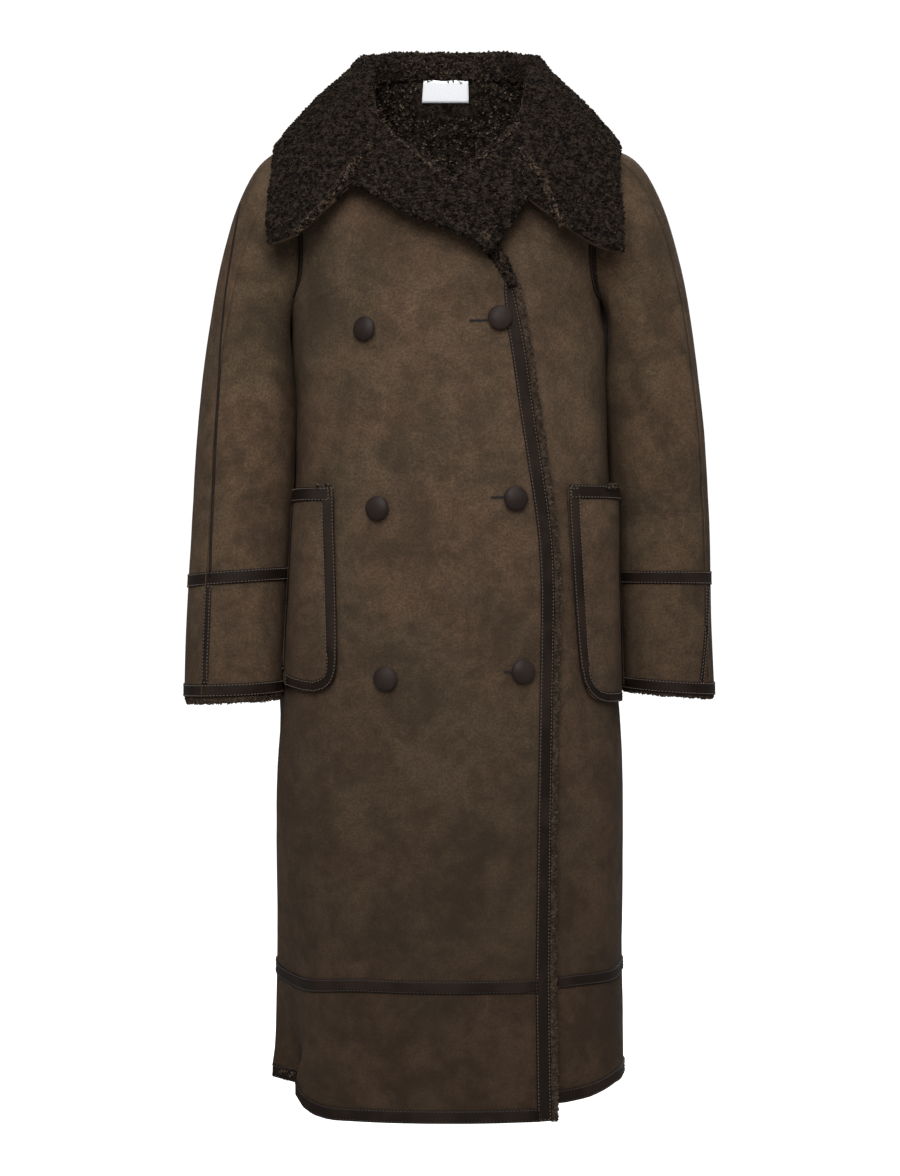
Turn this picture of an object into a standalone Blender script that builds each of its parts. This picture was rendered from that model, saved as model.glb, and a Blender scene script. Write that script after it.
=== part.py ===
"""Long double-breasted coat of bonded shearling, as it is worn: suede outside, curly pile inside.

Metres, +Z up. The origin is the base of the neck, where the wearer carries the coat.
The front faces -Y, and +X is the coat's left front, which buttons under the right one.
"""

import math

import bmesh
import bpy
import numpy as np
from mathutils import Vector

# Driving sizes
WALL = 0.005            # suede and cropped pile together
COLLAR_WALL = 0.005     # collar and lapels, pile outwards
TRIM = 0.0012           # leather strips
SEAM = 0.00015          # each side's share of the 0.3 mm left at a seam
REST = 0.0006           # clearance under what lies on a panel
TOP_LIFT = 0.009        # how far the overlapping front stands off the coat's own surface
ROUNDNESS = 2.5         # exponent of the body's rounded sections

UNDERARM_Z = -0.250
SHOULDER_Z = -0.070
NECK_Z = 0.004
BACK_NECK_RISE = 0.019

EDGE_STRIP_WIDTH = 0.0150
EDGE_PILE_WIDTH = 0.0085

# One row for each section of the body: height, half width on each side, depth to front and back
SECTIONS = (
    dict(z=-1.125, right=0.195, left=0.195, front=0.151, back=0.150),
    dict(z=-0.975, right=0.193, left=0.193, front=0.149, back=0.148),
    dict(z=-0.800, right=0.194, left=0.194, front=0.146, back=0.143),
    dict(z=-0.715, right=0.192, left=0.192, front=0.144, back=0.140),
    dict(z=-0.640, right=0.182, left=0.185, front=0.142, back=0.137),
    dict(z=-0.450, right=0.168, left=0.174, front=0.137, back=0.130),
    dict(z=-0.340, right=0.167, left=0.168, front=0.133, back=0.126),
    dict(z=-0.250, right=0.170, left=0.170, front=0.128, back=0.121),
    dict(z=-0.160, right=0.178, left=0.178, front=0.121, back=0.114),
    dict(z=-0.100, right=0.186, left=0.186, front=0.109, back=0.106),
    dict(z=-0.070, right=0.187, left=0.187, front=0.099, back=0.100),
    dict(z=-0.045, right=0.151, left=0.151, front=0.088, back=0.094),
    dict(z=-0.020, right=0.118, left=0.118, front=0.074, back=0.086),
    dict(z=0.005, right=0.089, left=0.089, front=0.056, back=0.076),
)

# Folds of the body: where they run around it (degrees from the left side seam over the front),
# how wide, how deep (outwards positive), and the heights where they are deepest and end
FOLDS = (
    dict(at=156, wide=13, out=-0.030, deep_z=-1.120, end_z=-0.900),
    dict(at=172, wide=12, out=0.005, deep_z=-1.120, end_z=-0.900),
    dict(at=134, wide=20, out=0.004, deep_z=-1.000, end_z=-0.560),
    dict(at=58, wide=16, out=-0.005, deep_z=-0.760, end_z=-0.500),
    dict(at=30, wide=14, out=0.005, deep_z=-1.080, end_z=-0.720),
    dict(at=12, wide=10, out=-0.004, deep_z=-0.900, end_z=-0.620),
    dict(at=226, wide=18, out=0.009, deep_z=-1.120, end_z=-0.420),
    dict(at=252, wide=14, out=-0.008, deep_z=-1.120, end_z=-0.500),
    dict(at=286, wide=18, out=0.008, deep_z=-1.120, end_z=-0.450),
    dict(at=312, wide=15, out=-0.008, deep_z=-1.120, end_z=-0.560),
    dict(at=337, wide=14, out=0.007, deep_z=-1.120, end_z=-0.600),
    dict(at=205, wide=12, out=-0.005, deep_z=-0.330, end_z=-0.120),
    dict(at=335, wide=12, out=-0.005, deep_z=-0.330, end_z=-0.120),
)

# Share of the half width at which the body ends and the sleeve begins
ARMHOLE = (
    dict(z=-0.250, share=1.000),
    dict(z=-0.243, share=0.974),
    dict(z=-0.225, share=0.930),
    dict(z=-0.190, share=0.895),
    dict(z=-0.160, share=0.890),
    dict(z=-0.135, share=0.895),
    dict(z=-0.110, share=0.912),
    dict(z=-0.090, share=0.940),
    dict(z=-0.077, share=0.972),
    dict(z=-0.070, share=1.000),
)

# The overlapping front's free edge: buttoned edge below, roll of the lapel above, where the
# panel ends inside the fold that wraps it
TOP_EDGE = (
    dict(z=-1.125, x=0.104),
    dict(z=-0.950, x=0.102),
    dict(z=-0.680, x=0.106),
    dict(z=-0.580, x=0.108),
    dict(z=-0.480, x=0.103),
    dict(z=-0.400, x=0.089),
    dict(z=-0.300, x=0.077),
    dict(z=-0.240, x=0.065),
    dict(z=-0.212, x=0.058),
    dict(z=-0.190, x=0.048),
    dict(z=-0.160, x=0.022),
    dict(z=-0.130, x=-0.005),
    dict(z=-0.110, x=-0.028),
    dict(z=-0.090, x=-0.055),
    dict(z=-0.067, x=-0.079),
    dict(z=-0.045, x=-0.087),
    dict(z=-0.022, x=-0.090),
    dict(z=0.005, x=-0.0878),
)

# The hidden front's edge, under the other, and the roll of its lapel
UNDER_EDGE = (
    dict(z=-1.125, x=-0.096),
    dict(z=-0.480, x=-0.096),
    dict(z=-0.300, x=-0.077),
    dict(z=-0.205, x=-0.056),
    dict(z=-0.160, x=-0.022),
    dict(z=-0.130, x=0.005),
    dict(z=-0.108, x=0.030),
    dict(z=-0.080, x=0.063),
    dict(z=-0.058, x=0.079),
    dict(z=-0.022, x=0.088),
    dict(z=0.005, x=0.0878),
)

# Heights of the rows of points that the body panels share
BODY_ROWS = (
    -1.109, -1.095, -1.050, -0.9855, -0.9725, -0.900, -0.820, -0.740, -0.660, -0.580, -0.510,
    -0.440, -0.370, -0.310, -0.250, -0.243, -0.225, -0.190, -0.160, -0.135, -0.110, -0.090,
    -0.077, -0.070, -0.045, -0.020, 0.004,
)

# Rings of a sleeve below its head: height, centre and half sizes; x is measured away from the body
SLEEVES = {
    "right": (
        dict(z=-0.330, x=0.2212, y=-0.016, wide=0.0530, deep=0.0760, dip=0.012),
        dict(z=-0.400, x=0.2255, y=-0.026, wide=0.0560, deep=0.0735, dip=0.004),
        dict(z=-0.460, x=0.2275, y=-0.036, wide=0.0565, deep=0.0710, dip=0.000),
        dict(z=-0.530, x=0.2310, y=-0.047, wide=0.0555, deep=0.0690, dip=-0.004),
        dict(z=-0.590, x=0.2335, y=-0.054, wide=0.0545, deep=0.0680, dip=-0.004),
        dict(z=-0.668, x=0.2360, y=-0.060, wide=0.0535, deep=0.0670, dip=-0.002),
    ),
    "left": (
        dict(z=-0.330, x=0.2240, y=0.006, wide=0.0540, deep=0.0760, dip=0.012),
        dict(z=-0.400, x=0.2320, y=0.007, wide=0.0555, deep=0.0735, dip=0.004),
        dict(z=-0.460, x=0.2350, y=0.008, wide=0.0560, deep=0.0710, dip=0.000),
        dict(z=-0.530, x=0.2385, y=0.010, wide=0.0545, deep=0.0690, dip=0.000),
        dict(z=-0.590, x=0.2410, y=0.012, wide=0.0535, deep=0.0680, dip=-0.002),
        dict(z=-0.668, x=0.2450, y=0.014, wide=0.0530, deep=0.0670, dip=-0.004),
    ),
}

# Stations of a collar leaf, from the centre back to the notch: the place on the neck edge (a share
# of the back's half, or a height on the front), how far its stand is upright, the roll's height
# above the edge and its reach outwards,
# then the middle of the fall and the outer edge. x is measured away from the centre.
COLLAR = {
    "right": (
        dict(neck=("back", 0.00), stand=1.0, up=0.036, out=0.018, fall=(0.000, 0.109, 0.008), edge=(0.000, 0.119, -0.068)),
        dict(neck=("back", 0.36), stand=1.0, up=0.036, out=0.018, fall=(0.064, 0.105, 0.006), edge=(0.088, 0.116, -0.074)),
        dict(neck=("back", 0.70), stand=1.0, up=0.035, out=0.018, fall=(0.112, 0.082, -0.004), edge=(0.150, 0.096, -0.084)),
        dict(neck=("back", 0.88), stand=1.0, up=0.034, out=0.018, fall=(0.134, 0.054, -0.007), edge=(0.183, 0.070, -0.076)),
        dict(neck=("back", 1.00), stand=1.0, up=0.031, out=0.019, fall=(0.147, 0.022, -0.010), edge=(0.197, 0.026, -0.058)),
        dict(neck=("front", 0.004), stand=0.8, up=0.021, out=0.018, fall=(0.150, -0.036, -0.018), edge=(0.200, -0.058, -0.080)),
        dict(neck=("front", -0.018), stand=0.35, up=0.012, out=0.016, fall=(0.147, -0.082, -0.058), edge=(0.200, -0.090, -0.134)),
        dict(neck=("front", -0.036), stand=0.1, up=0.008, out=0.012, fall=(0.142, -0.107, -0.098), edge=(0.195, -0.106, -0.186)),
        dict(neck=("front", -0.052), stand=0.0, up=0.006, out=0.0085, fall=(0.118, -0.122, -0.108), edge=(0.157, -0.130, -0.178)),
        dict(neck=("front", -0.066), stand=0.0, up=0.006, out=0.0085, fall=(0.090, -0.122, -0.100), edge=(0.104, -0.135, -0.133)),
    ),
    "left": (
        dict(neck=("back", 0.00), stand=1.0, up=0.036, out=0.018, fall=(0.000, 0.109, 0.008), edge=(0.000, 0.119, -0.068)),
        dict(neck=("back", 0.36), stand=1.0, up=0.036, out=0.018, fall=(0.064, 0.105, 0.006), edge=(0.088, 0.116, -0.074)),
        dict(neck=("back", 0.70), stand=1.0, up=0.035, out=0.018, fall=(0.112, 0.082, -0.004), edge=(0.150, 0.096, -0.084)),
        dict(neck=("back", 0.88), stand=1.0, up=0.034, out=0.018, fall=(0.132, 0.054, -0.008), edge=(0.179, 0.070, -0.074)),
        dict(neck=("back", 1.00), stand=1.0, up=0.029, out=0.019, fall=(0.144, 0.022, -0.012), edge=(0.191, 0.026, -0.056)),
        dict(neck=("front", 0.004), stand=0.8, up=0.020, out=0.018, fall=(0.147, -0.036, -0.019), edge=(0.193, -0.058, -0.075)),
        dict(neck=("front", -0.018), stand=0.35, up=0.012, out=0.016, fall=(0.142, -0.086, -0.058), edge=(0.187, -0.096, -0.136)),
        dict(neck=("front", -0.034), stand=0.1, up=0.008, out=0.012, fall=(0.136, -0.107, -0.104), edge=(0.186, -0.108, -0.192)),
        dict(neck=("front", -0.047), stand=0.0, up=0.006, out=0.0085, fall=(0.110, -0.119, -0.112), edge=(0.130, -0.127, -0.181)),
        dict(neck=("front", -0.058), stand=0.0, up=0.006, out=0.0085, fall=(0.080, -0.119, -0.104), edge=(0.083, -0.130, -0.149)),
    ),
}

# Rows of a lapel below the collar: height of its roll on the front's edge, and where its outer
# edge lies, seen from the front
LAPEL = {
    "right": (
        dict(roll=-0.082, x=-0.084, z=-0.1430),
        dict(roll=-0.100, x=-0.062, z=-0.1580),
        dict(roll=-0.120, x=-0.036, z=-0.1730),
        dict(roll=-0.145, x=-0.006, z=-0.1830),
        dict(roll=-0.172, x=0.020, z=-0.1940),
        dict(roll=-0.196, x=0.036, z=-0.2060),
    ),
    "left": (
        dict(roll=-0.074, x=0.074, z=-0.1560),
        dict(roll=-0.088, x=0.069, z=-0.1640),
        dict(roll=-0.104, x=0.066, z=-0.1760),
        dict(roll=-0.118, x=0.064, z=-0.1880),
    ),
}
LAPEL_ROLL_UP, LAPEL_ROLL_OUT = 0.006, 0.0085
NECK_CENTRE_Y = 0.012   # middle of the neck opening
STAND_CLEAR = 0.0020    # between the neck edge and the stand sewn to it, at the neck's corners
BACK_STAND_CLEAR = 0.0007   # and at the centre back
NECK_HALF = 0.088
FOLD_CLEAR = 0.0018     # between a front's edge and the fold around it
# Share of the collar's wall at each column across it, thinner where it turns over
TURN_THICKNESS = (0.60, 0.50, 0.45, 0.45, 0.45, 0.55, 0.75, 1.0, 1.0, 1.0)
LAPEL_ABOVE = 0.0025    # clearance of a lapel's underside at its roll
LAPEL_RISE = 0.012      # how much further its loose edge stands off

# Pockets: the front corner's distance from the centre at top and bottom, heights, how far the outer
# edge stops short of the side seam, how far the middle stands off, and where it stands off most
POCKETS = {
    "right": dict(top_x=0.1240, low_x=0.1200, top=-0.453, low=-0.671, side_gap=0.066, bulge=0.0120, peak=0.80),
    "left": dict(top_x=0.1240, low_x=0.1390, top=-0.450, low=-0.683, side_gap=0.030, bulge=0.0130, peak=1.10),
}
POCKET_WALL = 0.004
POCKET_CLEAR = 0.0013
POCKET_CORNER = 0.014
POCKET_BAND = 0.0150
POCKET_SIDE_STRIP = 0.0095

# Buttons on the overlapping front: distance from the centre and height
BUTTONS = {
    "upper_right": (-0.0895, -0.2860),
    "middle_right": (-0.0755, -0.4765),
    "lower_right": (-0.0670, -0.6555),
    "upper_left": (0.0522, -0.2755),
    "middle_left": (0.0685, -0.4660),
    "lower_left": (0.0760, -0.6480),
}
# Half profile of a button, from the top of its dome down to its foot: radius and height
BUTTON_PROFILE = (
    (0.0000, 0.0094), (0.0060, 0.0089), (0.0105, 0.0074), (0.0130, 0.0056),
    (0.0132, 0.0044), (0.0118, 0.0034), (0.0045, 0.0031), (0.0045, 0.0000), (0.0000, 0.0000),
)
BUTTON_STEPS = 20

LABEL_SIZE = (0.0550, 0.0240)
LABEL_X = -0.0050
ARMHOLE_STRIP_WIDTH = 0.0085
SLEEVE_STRIP_WIDTH = 0.0085

COLOURS = {
    "suede": (0.090, 0.058, 0.038),
    "leather": (0.022, 0.014, 0.012),
    "pile": (0.016, 0.011, 0.008),
    "label": (0.820, 0.830, 0.850),
}


# Small helpers

def smooth(x):
    x = min(max(x, 0.0), 1.0)
    return x * x * (3 - 2 * x)


def bell(x):
    return 0.5 + 0.5 * math.cos(math.pi * x) if abs(x) < 1 else 0.0


def profile(table, column, z):
    """The column's value at height z, on a smooth curve through the table's rows."""
    heights = [row["z"] for row in table]
    values = [row[column] for row in table]
    if heights[0] > heights[-1]:
        heights.reverse()
        values.reverse()
    z = min(max(z, heights[0]), heights[-1])
    i = min(max(int(np.searchsorted(heights, z)) - 1, 0), len(heights) - 2)
    step = heights[i + 1] - heights[i]
    slopes = []
    for k in (i, i + 1):
        before, after = max(k - 1, 0), min(k + 1, len(heights) - 1)
        slopes.append((values[after] - values[before]) / (heights[after] - heights[before]))
    t = (z - heights[i]) / step
    return (
        (2 * t**3 - 3 * t**2 + 1) * values[i]
        + (t**3 - 2 * t**2 + t) * step * slopes[0]
        + (3 * t**2 - 2 * t**3) * values[i + 1]
        + (t**3 - t**2) * step * slopes[1]
    )


def unit(v):
    return v / max(np.linalg.norm(v), 1e-12)


def grid_normals(points, closed=False):
    """A normal for each point of a grid, from its neighbours; columns wrap round if closed."""
    if closed:
        ring = np.concatenate([points[:, -2:-1], points, points[:, 1:2]], axis=1)
        across = (ring[:, 2:] - ring[:, :-2])
    else:
        across = np.gradient(points, axis=1)
    down = np.gradient(points, axis=0)
    normals = np.cross(across, down)
    return normals / np.maximum(np.linalg.norm(normals, axis=2, keepdims=True), 1e-12)


# The coat's own surface

def body_section(theta, z):
    """A point of the plain body: theta 0 is the left side, 90 degrees the front, 180 the right side."""
    c, s = math.cos(theta), math.sin(theta)
    half = profile(SECTIONS, "left" if c > 0 else "right", z)
    deep = profile(SECTIONS, "front" if s > 0 else "back", z)
    power = 2 / ROUNDNESS
    x = half * math.copysign(abs(c) ** power, c)
    y = -deep * math.copysign(abs(s) ** power, s)
    return np.array([x, y, z])


def fold_depth(theta, z):
    degrees = math.degrees(theta) % 360
    total = 0.0
    for fold in FOLDS:
        around = (degrees - fold["at"] + 180) % 360 - 180
        height = (z - fold["deep_z"]) / (fold["end_z"] - fold["deep_z"])
        total += fold["out"] * bell(around / fold["wide"]) * bell(height)
    return total


def section_normal(theta, z):
    around = body_section(theta + 1e-3, z) - body_section(theta - 1e-3, z)
    up = body_section(theta, z + 1e-3) - body_section(theta, z - 1e-3)
    return unit(np.cross(up, around))


def body_surface(theta, z):
    out = section_normal(theta, z)
    return body_section(theta, z) + out * fold_depth(theta, z)


def body_normal(theta, z):
    around = body_surface(theta + 4e-3, z) - body_surface(theta - 4e-3, z)
    up = body_surface(theta, z + 2e-3) - body_surface(theta, z - 2e-3)
    return unit(np.cross(up, around))


def front_angle(x, z):
    half = profile(SECTIONS, "left" if x > 0 else "right", z)
    share = min(abs(x) / half, 1.0) ** (ROUNDNESS / 2)
    return math.acos(math.copysign(share, x))


def armhole_angle(z):
    """How far round from the side seam the armhole or shoulder seam lies at this height."""
    if z <= UNDERARM_Z or z >= SHOULDER_Z:
        return 0.0
    return math.acos(min(profile(ARMHOLE, "share", z), 1.0) ** (ROUNDNESS / 2))


def body_panel(start, end, columns, hem, cut=None, lift=None, rise=0.0, last_width=0.0):
    """A panel's grid of points and normals, rows from hem to neck, spaced from start to end.

    start and end give the angle at a height. cut gives the angle that the armhole takes from the
    start, and from the end where the end is a side too; only the columns near it draw together.
    hem gives the hem's drop at an angle; lift gives how far the panel stands off the surface.
    """
    points, normals = [], []
    for z_row in BODY_ROWS:
        thetas = np.linspace(start(z_row), end(z_row), 81)
        hem_share = smooth((-0.90 - z_row) / 0.20)
        neck_share = smooth((z_row - SHOULDER_Z) / (NECK_Z - SHOULDER_Z))
        heights = [
            z_row + hem(t) * hem_share + rise * neck_share * abs(math.sin(t)) ** 0.6 for t in thetas
        ]
        chain = np.array([body_surface(t, z) for t, z in zip(thetas, heights)])
        steps = np.linalg.norm(np.diff(chain, axis=0), axis=1)
        along = np.concatenate([[0.0], np.cumsum(steps)])
        edge_width = min(last_width, 0.3 * along[-1])
        length = along[-1] - edge_width
        way = abs(thetas[-1] - thetas[0])
        angle = armhole_angle(z_row)
        taken = [np.interp(angle, np.abs(thetas - thetas[0]), along), 0.0]
        if cut == "both":
            taken[1] = along[-1] - np.interp(way - angle, np.abs(thetas - thetas[0]), along)
        row, row_normals = [], []
        shares = list(np.linspace(0, 1, columns)) + [None] * bool(last_width)
        for share in shares:
            if share is None:
                place = along[-1] - SEAM
            else:
                near, far = (1 - share) ** 2.4, share**2.4
                place = share * length + taken[0] * near - taken[1] * far
                place += SEAM * (1 - 2 * share) * (0 if last_width and share == 1 else 1)
            theta = np.interp(place, along, thetas)
            z = np.interp(place, along, heights)
            point, normal = body_surface(theta, z), body_normal(theta, z)
            if lift:
                point = point + normal * lift(point, place - taken[0])
            row.append(point)
            row_normals.append(normal)
        points.append(row)
        normals.append(row_normals)
    points, normals = np.array(points), np.array(normals)
    if lift:
        turned = grid_normals(points)
        turned *= np.sign(np.sum(turned * normals, axis=2, keepdims=True))
        normals[:, 1:] = turned[:, 1:]
    return dict(points=points, normals=normals)


def sample(panel, row, column):
    """Point and normal of a panel's grid at a fractional row and column."""
    rows, columns = panel["points"].shape[:2]
    i = min(max(int(row), 0), rows - 2)
    j = min(max(int(column), 0), columns - 2)
    a, b = row - i, column - j
    parts = []
    for grid in (panel["points"], panel["normals"]):
        parts.append(
            (1 - a) * ((1 - b) * grid[i, j] + b * grid[i, j + 1])
            + a * ((1 - b) * grid[i + 1, j] + b * grid[i + 1, j + 1])
        )
    return parts[0], unit(parts[1])


def row_at(z):
    """The fractional row of the body panels at a height clear of the hem's curve."""
    return float(np.interp(z, BODY_ROWS, range(len(BODY_ROWS))))


# Objects

def material_for(name, finish):
    material = bpy.data.materials.new(name)
    material.use_nodes = True
    shader = material.node_tree.nodes["Principled BSDF"]
    shader.inputs["Base Color"].default_value = (*COLOURS[finish], 1.0)
    shader.inputs["Roughness"].default_value = 0.45 if finish == "leather" else 0.9
    shader.inputs["Metallic"].default_value = 0.0
    return material


def add_mesh(name, vertices, faces, finish):
    """An object of the coat, with its faces turned outwards."""
    mesh = bpy.data.meshes.new(name)
    mesh.from_pydata([tuple(v) for v in vertices], [], faces)
    shape = bmesh.new()
    shape.from_mesh(mesh)
    bmesh.ops.recalc_face_normals(shape, faces=shape.faces)
    shape.to_mesh(mesh)
    shape.free()
    mesh.materials.append(material_for(name, finish))
    obj = bpy.data.objects.new(name, mesh)
    coat.objects.link(obj)
    return obj


def wall(name, outer, inner, finish, closed=False):
    """A cloth wall between two grids of points; a closed one joins its last column to its first."""
    rows, columns = outer.shape[:2]
    size = rows * columns
    vertices = np.concatenate([outer.reshape(-1, 3), inner.reshape(-1, 3)])
    faces = []
    wrap = columns if closed else columns - 1
    for i in range(rows - 1):
        for j in range(wrap):
            k = (j + 1) % columns
            a, b = i * columns + j, i * columns + k
            c, d = a + columns, b + columns
            faces.append((a, b, d, c))
            faces.append((a + size, c + size, d + size, b + size))
    for j in range(wrap):
        k = (j + 1) % columns
        top = (rows - 1) * columns
        faces.append((j, j + size, k + size, k))
        faces.append((top + j, top + k, top + k + size, top + j + size))
    if not closed:
        for i in range(rows - 1):
            a, c = i * columns, (i + 1) * columns
            faces.append((a, c, c + size, a + size))
            a, c = a + columns - 1, c + columns - 1
            faces.append((a, a + size, c + size, c))
    return add_mesh(name, vertices, faces, finish)


def panel_wall(name, panel, finish="suede", thick=WALL):
    return wall(name, panel["points"], panel["points"] - panel["normals"] * thick, finish)


def strip(name, panel, rows, columns, finish="leather", thick=TRIM, above=REST):
    """A strip that lies on a panel, made from the panel's own points moved out."""
    outer, inner = [], []
    for row in rows:
        found = [sample(panel, row, column) for column in columns]
        outer.append([p + n * (above + thick) for p, n in found])
        inner.append([p + n * above for p, n in found])
    return wall(name, np.array(outer), np.array(inner), finish)


# Body panels

def columns_of(panel, first, last):
    """Part of a grid, from one column on to another."""
    picked = slice(first, last + 1)
    return dict(points=panel["points"][:, picked].copy(), normals=panel["normals"][:, picked])


def parted(panel):
    """A panel drawn in by the seam's share at its first and last columns."""
    points = panel["points"].copy()
    for edge, inner in ((0, 1), (-1, -2)):
        inward = points[:, inner] - points[:, edge]
        inward /= np.linalg.norm(inward, axis=1, keepdims=True)
        points[:, edge] += inward * SEAM
    return dict(points=points, normals=panel["normals"])


def right_front_lift(point, place):
    """The overlapping front stands off the other by its thickness, and lies back elsewhere."""
    overlap = smooth((point[0] + 0.155) / 0.045)
    below_roll = smooth((-0.085 - point[2]) / 0.045)
    return TOP_LIFT * overlap * below_roll * smooth(place / 0.035)


def build_body():
    half_turn = math.pi
    right_front = body_panel(
        start=lambda z: half_turn,
        end=lambda z: front_angle(profile(TOP_EDGE, "x", z), z),
        columns=10,
        hem=lambda t: -0.011 * smooth((half_turn - t) / 0.5) - 0.009 * bell((half_turn - t - 0.62) / 0.45),
        lift=right_front_lift,
        last_width=EDGE_STRIP_WIDTH,
    )
    left_front = body_panel(
        start=lambda z: 0.0,
        end=lambda z: front_angle(profile(UNDER_EDGE, "x", z), z),
        columns=10,
        hem=lambda t: 0.004 * smooth(t / 0.9),
    )
    back = body_panel(
        start=lambda z: 0.0,
        end=lambda z: -half_turn,
        columns=17,
        hem=lambda t: 0.0,
        cut="both",
        rise=BACK_NECK_RISE,
    )
    panel_wall("front_right", right_front)
    panel_wall("front_left", left_front)
    middle = back["points"].shape[1] // 2
    panel_wall("back_left", parted(columns_of(back, 0, middle)))
    panel_wall("back_right", parted(columns_of(back, middle, 2 * middle)))
    return right_front, left_front, back


# Sleeves

HEAD_STEPS = (0.0, 0.09, 0.22, 0.38, 0.56, 0.77)


def armhole_loop(front, back, back_from_end):
    """The armhole's points, from the shoulder down the front to the underarm and up the back."""
    low, high = BODY_ROWS.index(UNDERARM_Z), BODY_ROWS.index(SHOULDER_Z)
    column = -1 if back_from_end else 0
    down = [front["points"][i, 0] for i in range(high, low - 1, -1)]
    up = [back["points"][i, column] for i in range(low + 1, high)]
    return np.array(down + up)


def sleeve_ring(side, out, z, turns):
    """A ring of the sleeve at a height; turns run from the outer side over the front."""
    table = SLEEVES[side]
    centre_x, centre_y = profile(table, "x", z), profile(table, "y", z)
    wide, deep, dip = profile(table, "wide", z), profile(table, "deep", z), profile(table, "dip", z)
    power = 2 / 2.2
    ring = []
    for turn in turns:
        c, s = math.cos(turn), math.sin(turn)
        x = centre_x + wide * math.copysign(abs(c) ** power, c)
        y = centre_y - deep * math.copysign(abs(s) ** power, s)
        ring.append((out * x, y, z + dip * c))
    return np.array(ring)


def sleeve_grid(side, out, loop, ring_heights):
    """The sleeve's grid of points: head rings from the armhole, then rings down to the cuff."""
    count = len(loop)
    turns = [2 * math.pi * j / count for j in range(count)]
    first = sleeve_ring(side, out, ring_heights[0], turns)
    rings = []
    for share in HEAD_STEPS:
        ring = []
        for turn, start, end in zip(turns, loop, first):
            top, face = (1 + math.cos(turn)) / 2, math.sin(turn)
            leave = unit(np.array([out * (0.66 + 0.34 * top), -0.30 * face, -0.75 + 0.71 * top]))
            reach = np.linalg.norm(end - start)
            arrive = unit(np.array([out * 0.10, 0.0, -1.0])) * reach * (0.9 + 0.5 * top)
            leave_at = start + leave * 2 * SEAM
            leave = leave * reach * (0.9 - 0.36 * top)
            t = share
            ring.append(
                (2 * t**3 - 3 * t**2 + 1) * leave_at
                + (t**3 - 2 * t**2 + t) * leave
                + (3 * t**2 - 2 * t**3) * end
                + (t**3 - t**2) * arrive
            )
        rings.append(ring)
    for z in ring_heights:
        rings.append(sleeve_ring(side, out, z, turns))
    points = np.array(rings)
    points = np.concatenate([points, points[:, :1]], axis=1)
    normals = grid_normals(points, closed=True)
    centre = points.mean(axis=1, keepdims=True)
    flip = np.sign(np.sum(normals * (points - centre), axis=2))
    normals *= np.sign(flip[len(HEAD_STEPS):].sum())
    return dict(points=points, normals=normals)


# Collar and lapels

def edge_frame(panel, row, column):
    """A panel's edge at a fractional place: the point, the normal and the way out across the edge."""
    rows, columns = panel["points"].shape[:2]
    point, normal = sample(panel, row, column)
    if column >= columns - 1:
        along = sample(panel, row + 0.2, column)[0] - sample(panel, row - 0.2, column)[0]
        inside = point - sample(panel, row, column - 0.5)[0]
    else:
        along = sample(panel, row, column + 0.2)[0] - sample(panel, row, column - 0.2)[0]
        inside = point - sample(panel, row - 0.5, column)[0]
    across = unit(np.cross(along, normal))
    return point, normal, across * math.copysign(1.0, float(np.dot(across, inside)))


def neck_frame(side, place, fronts, back):
    kind, value = place
    columns = back["points"].shape[1]
    top = len(BODY_ROWS) - 1
    if kind == "back":
        middle = (columns - 1) / 2
        reach = middle * value * (1 if side == "right" else -1)
        return edge_frame(back, top, min(max(middle + reach, 0.21), columns - 1.21))
    return edge_frame(fronts[side], min(row_at(value), top), fronts[side]["points"].shape[1] - 1)


def roll_points(point, normal, across, stand, up, out):
    """The pile side of the fold over a neck edge: sewn edge, inside, crest and back outside."""
    level = unit(np.array([point[0], point[1] - NECK_CENTRE_Y, 0.0]))
    outward = unit(normal * (1 - stand) + level * stand)
    upward = unit(across * (1 - stand) + np.array([0.0, 0.0, 1.0]) * stand)
    corner = smooth(abs(point[0]) / NECK_HALF)
    stand_clear = BACK_STAND_CLEAR + (STAND_CLEAR - BACK_STAND_CLEAR) * corner
    clear = stand_clear * stand + (FOLD_CLEAR + COLLAR_WALL) * (1 - stand)
    sewn = point - outward * WALL * (0.7 + 0.3 * stand) + upward * clear
    inside = point - outward * 0.004 * stand + upward * max(clear, up - 0.010)
    crest = point + outward * 0.5 * out + upward * (up + 0.002)
    outside = point + outward * (out + 0.001) + upward * ((up - 0.009) * stand + 0.002 * (1 - stand))
    return [sewn, inside, crest, outside]


def curve_through(points, shares):
    """Points on a smooth curve through the given ones; whole shares fall on them."""
    points = [np.array(p, dtype=float) for p in points]
    found = []
    for share in shares:
        i = min(int(share), len(points) - 2)
        t = share - i
        before = points[i - 1] if i else 2 * points[0] - points[1]
        after = points[i + 2] if i + 2 < len(points) else 2 * points[-1] - points[-2]
        a, b = points[i], points[i + 1]
        found.append(
            0.5 * (2 * a + (b - before) * t + (2 * before - 5 * a + 4 * b - after) * t**2
                   + (3 * a - before - 3 * b + after) * t**3)
        )
    return found


ACROSS_COLLAR = (0, 1, 1.5, 2, 2.5, 3, 3.5, 4, 4.5, 5)
GORGE = 0.00035         # each side's share of the gap at the gorge seam


def collar_rows(side, fronts, back):
    out = -1 if side == "right" else 1
    rows = []
    for station in COLLAR[side]:
        frame = neck_frame(side, station["neck"], fronts, back)
        rolled = roll_points(*frame, station["stand"], station["up"], station["out"])
        fall = np.array(station["fall"]) * (out, 1, 1)
        edge = np.array(station["edge"]) * (out, 1, 1)
        rows.append(curve_through([*rolled, fall, edge], ACROSS_COLLAR))
    return rows


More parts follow.
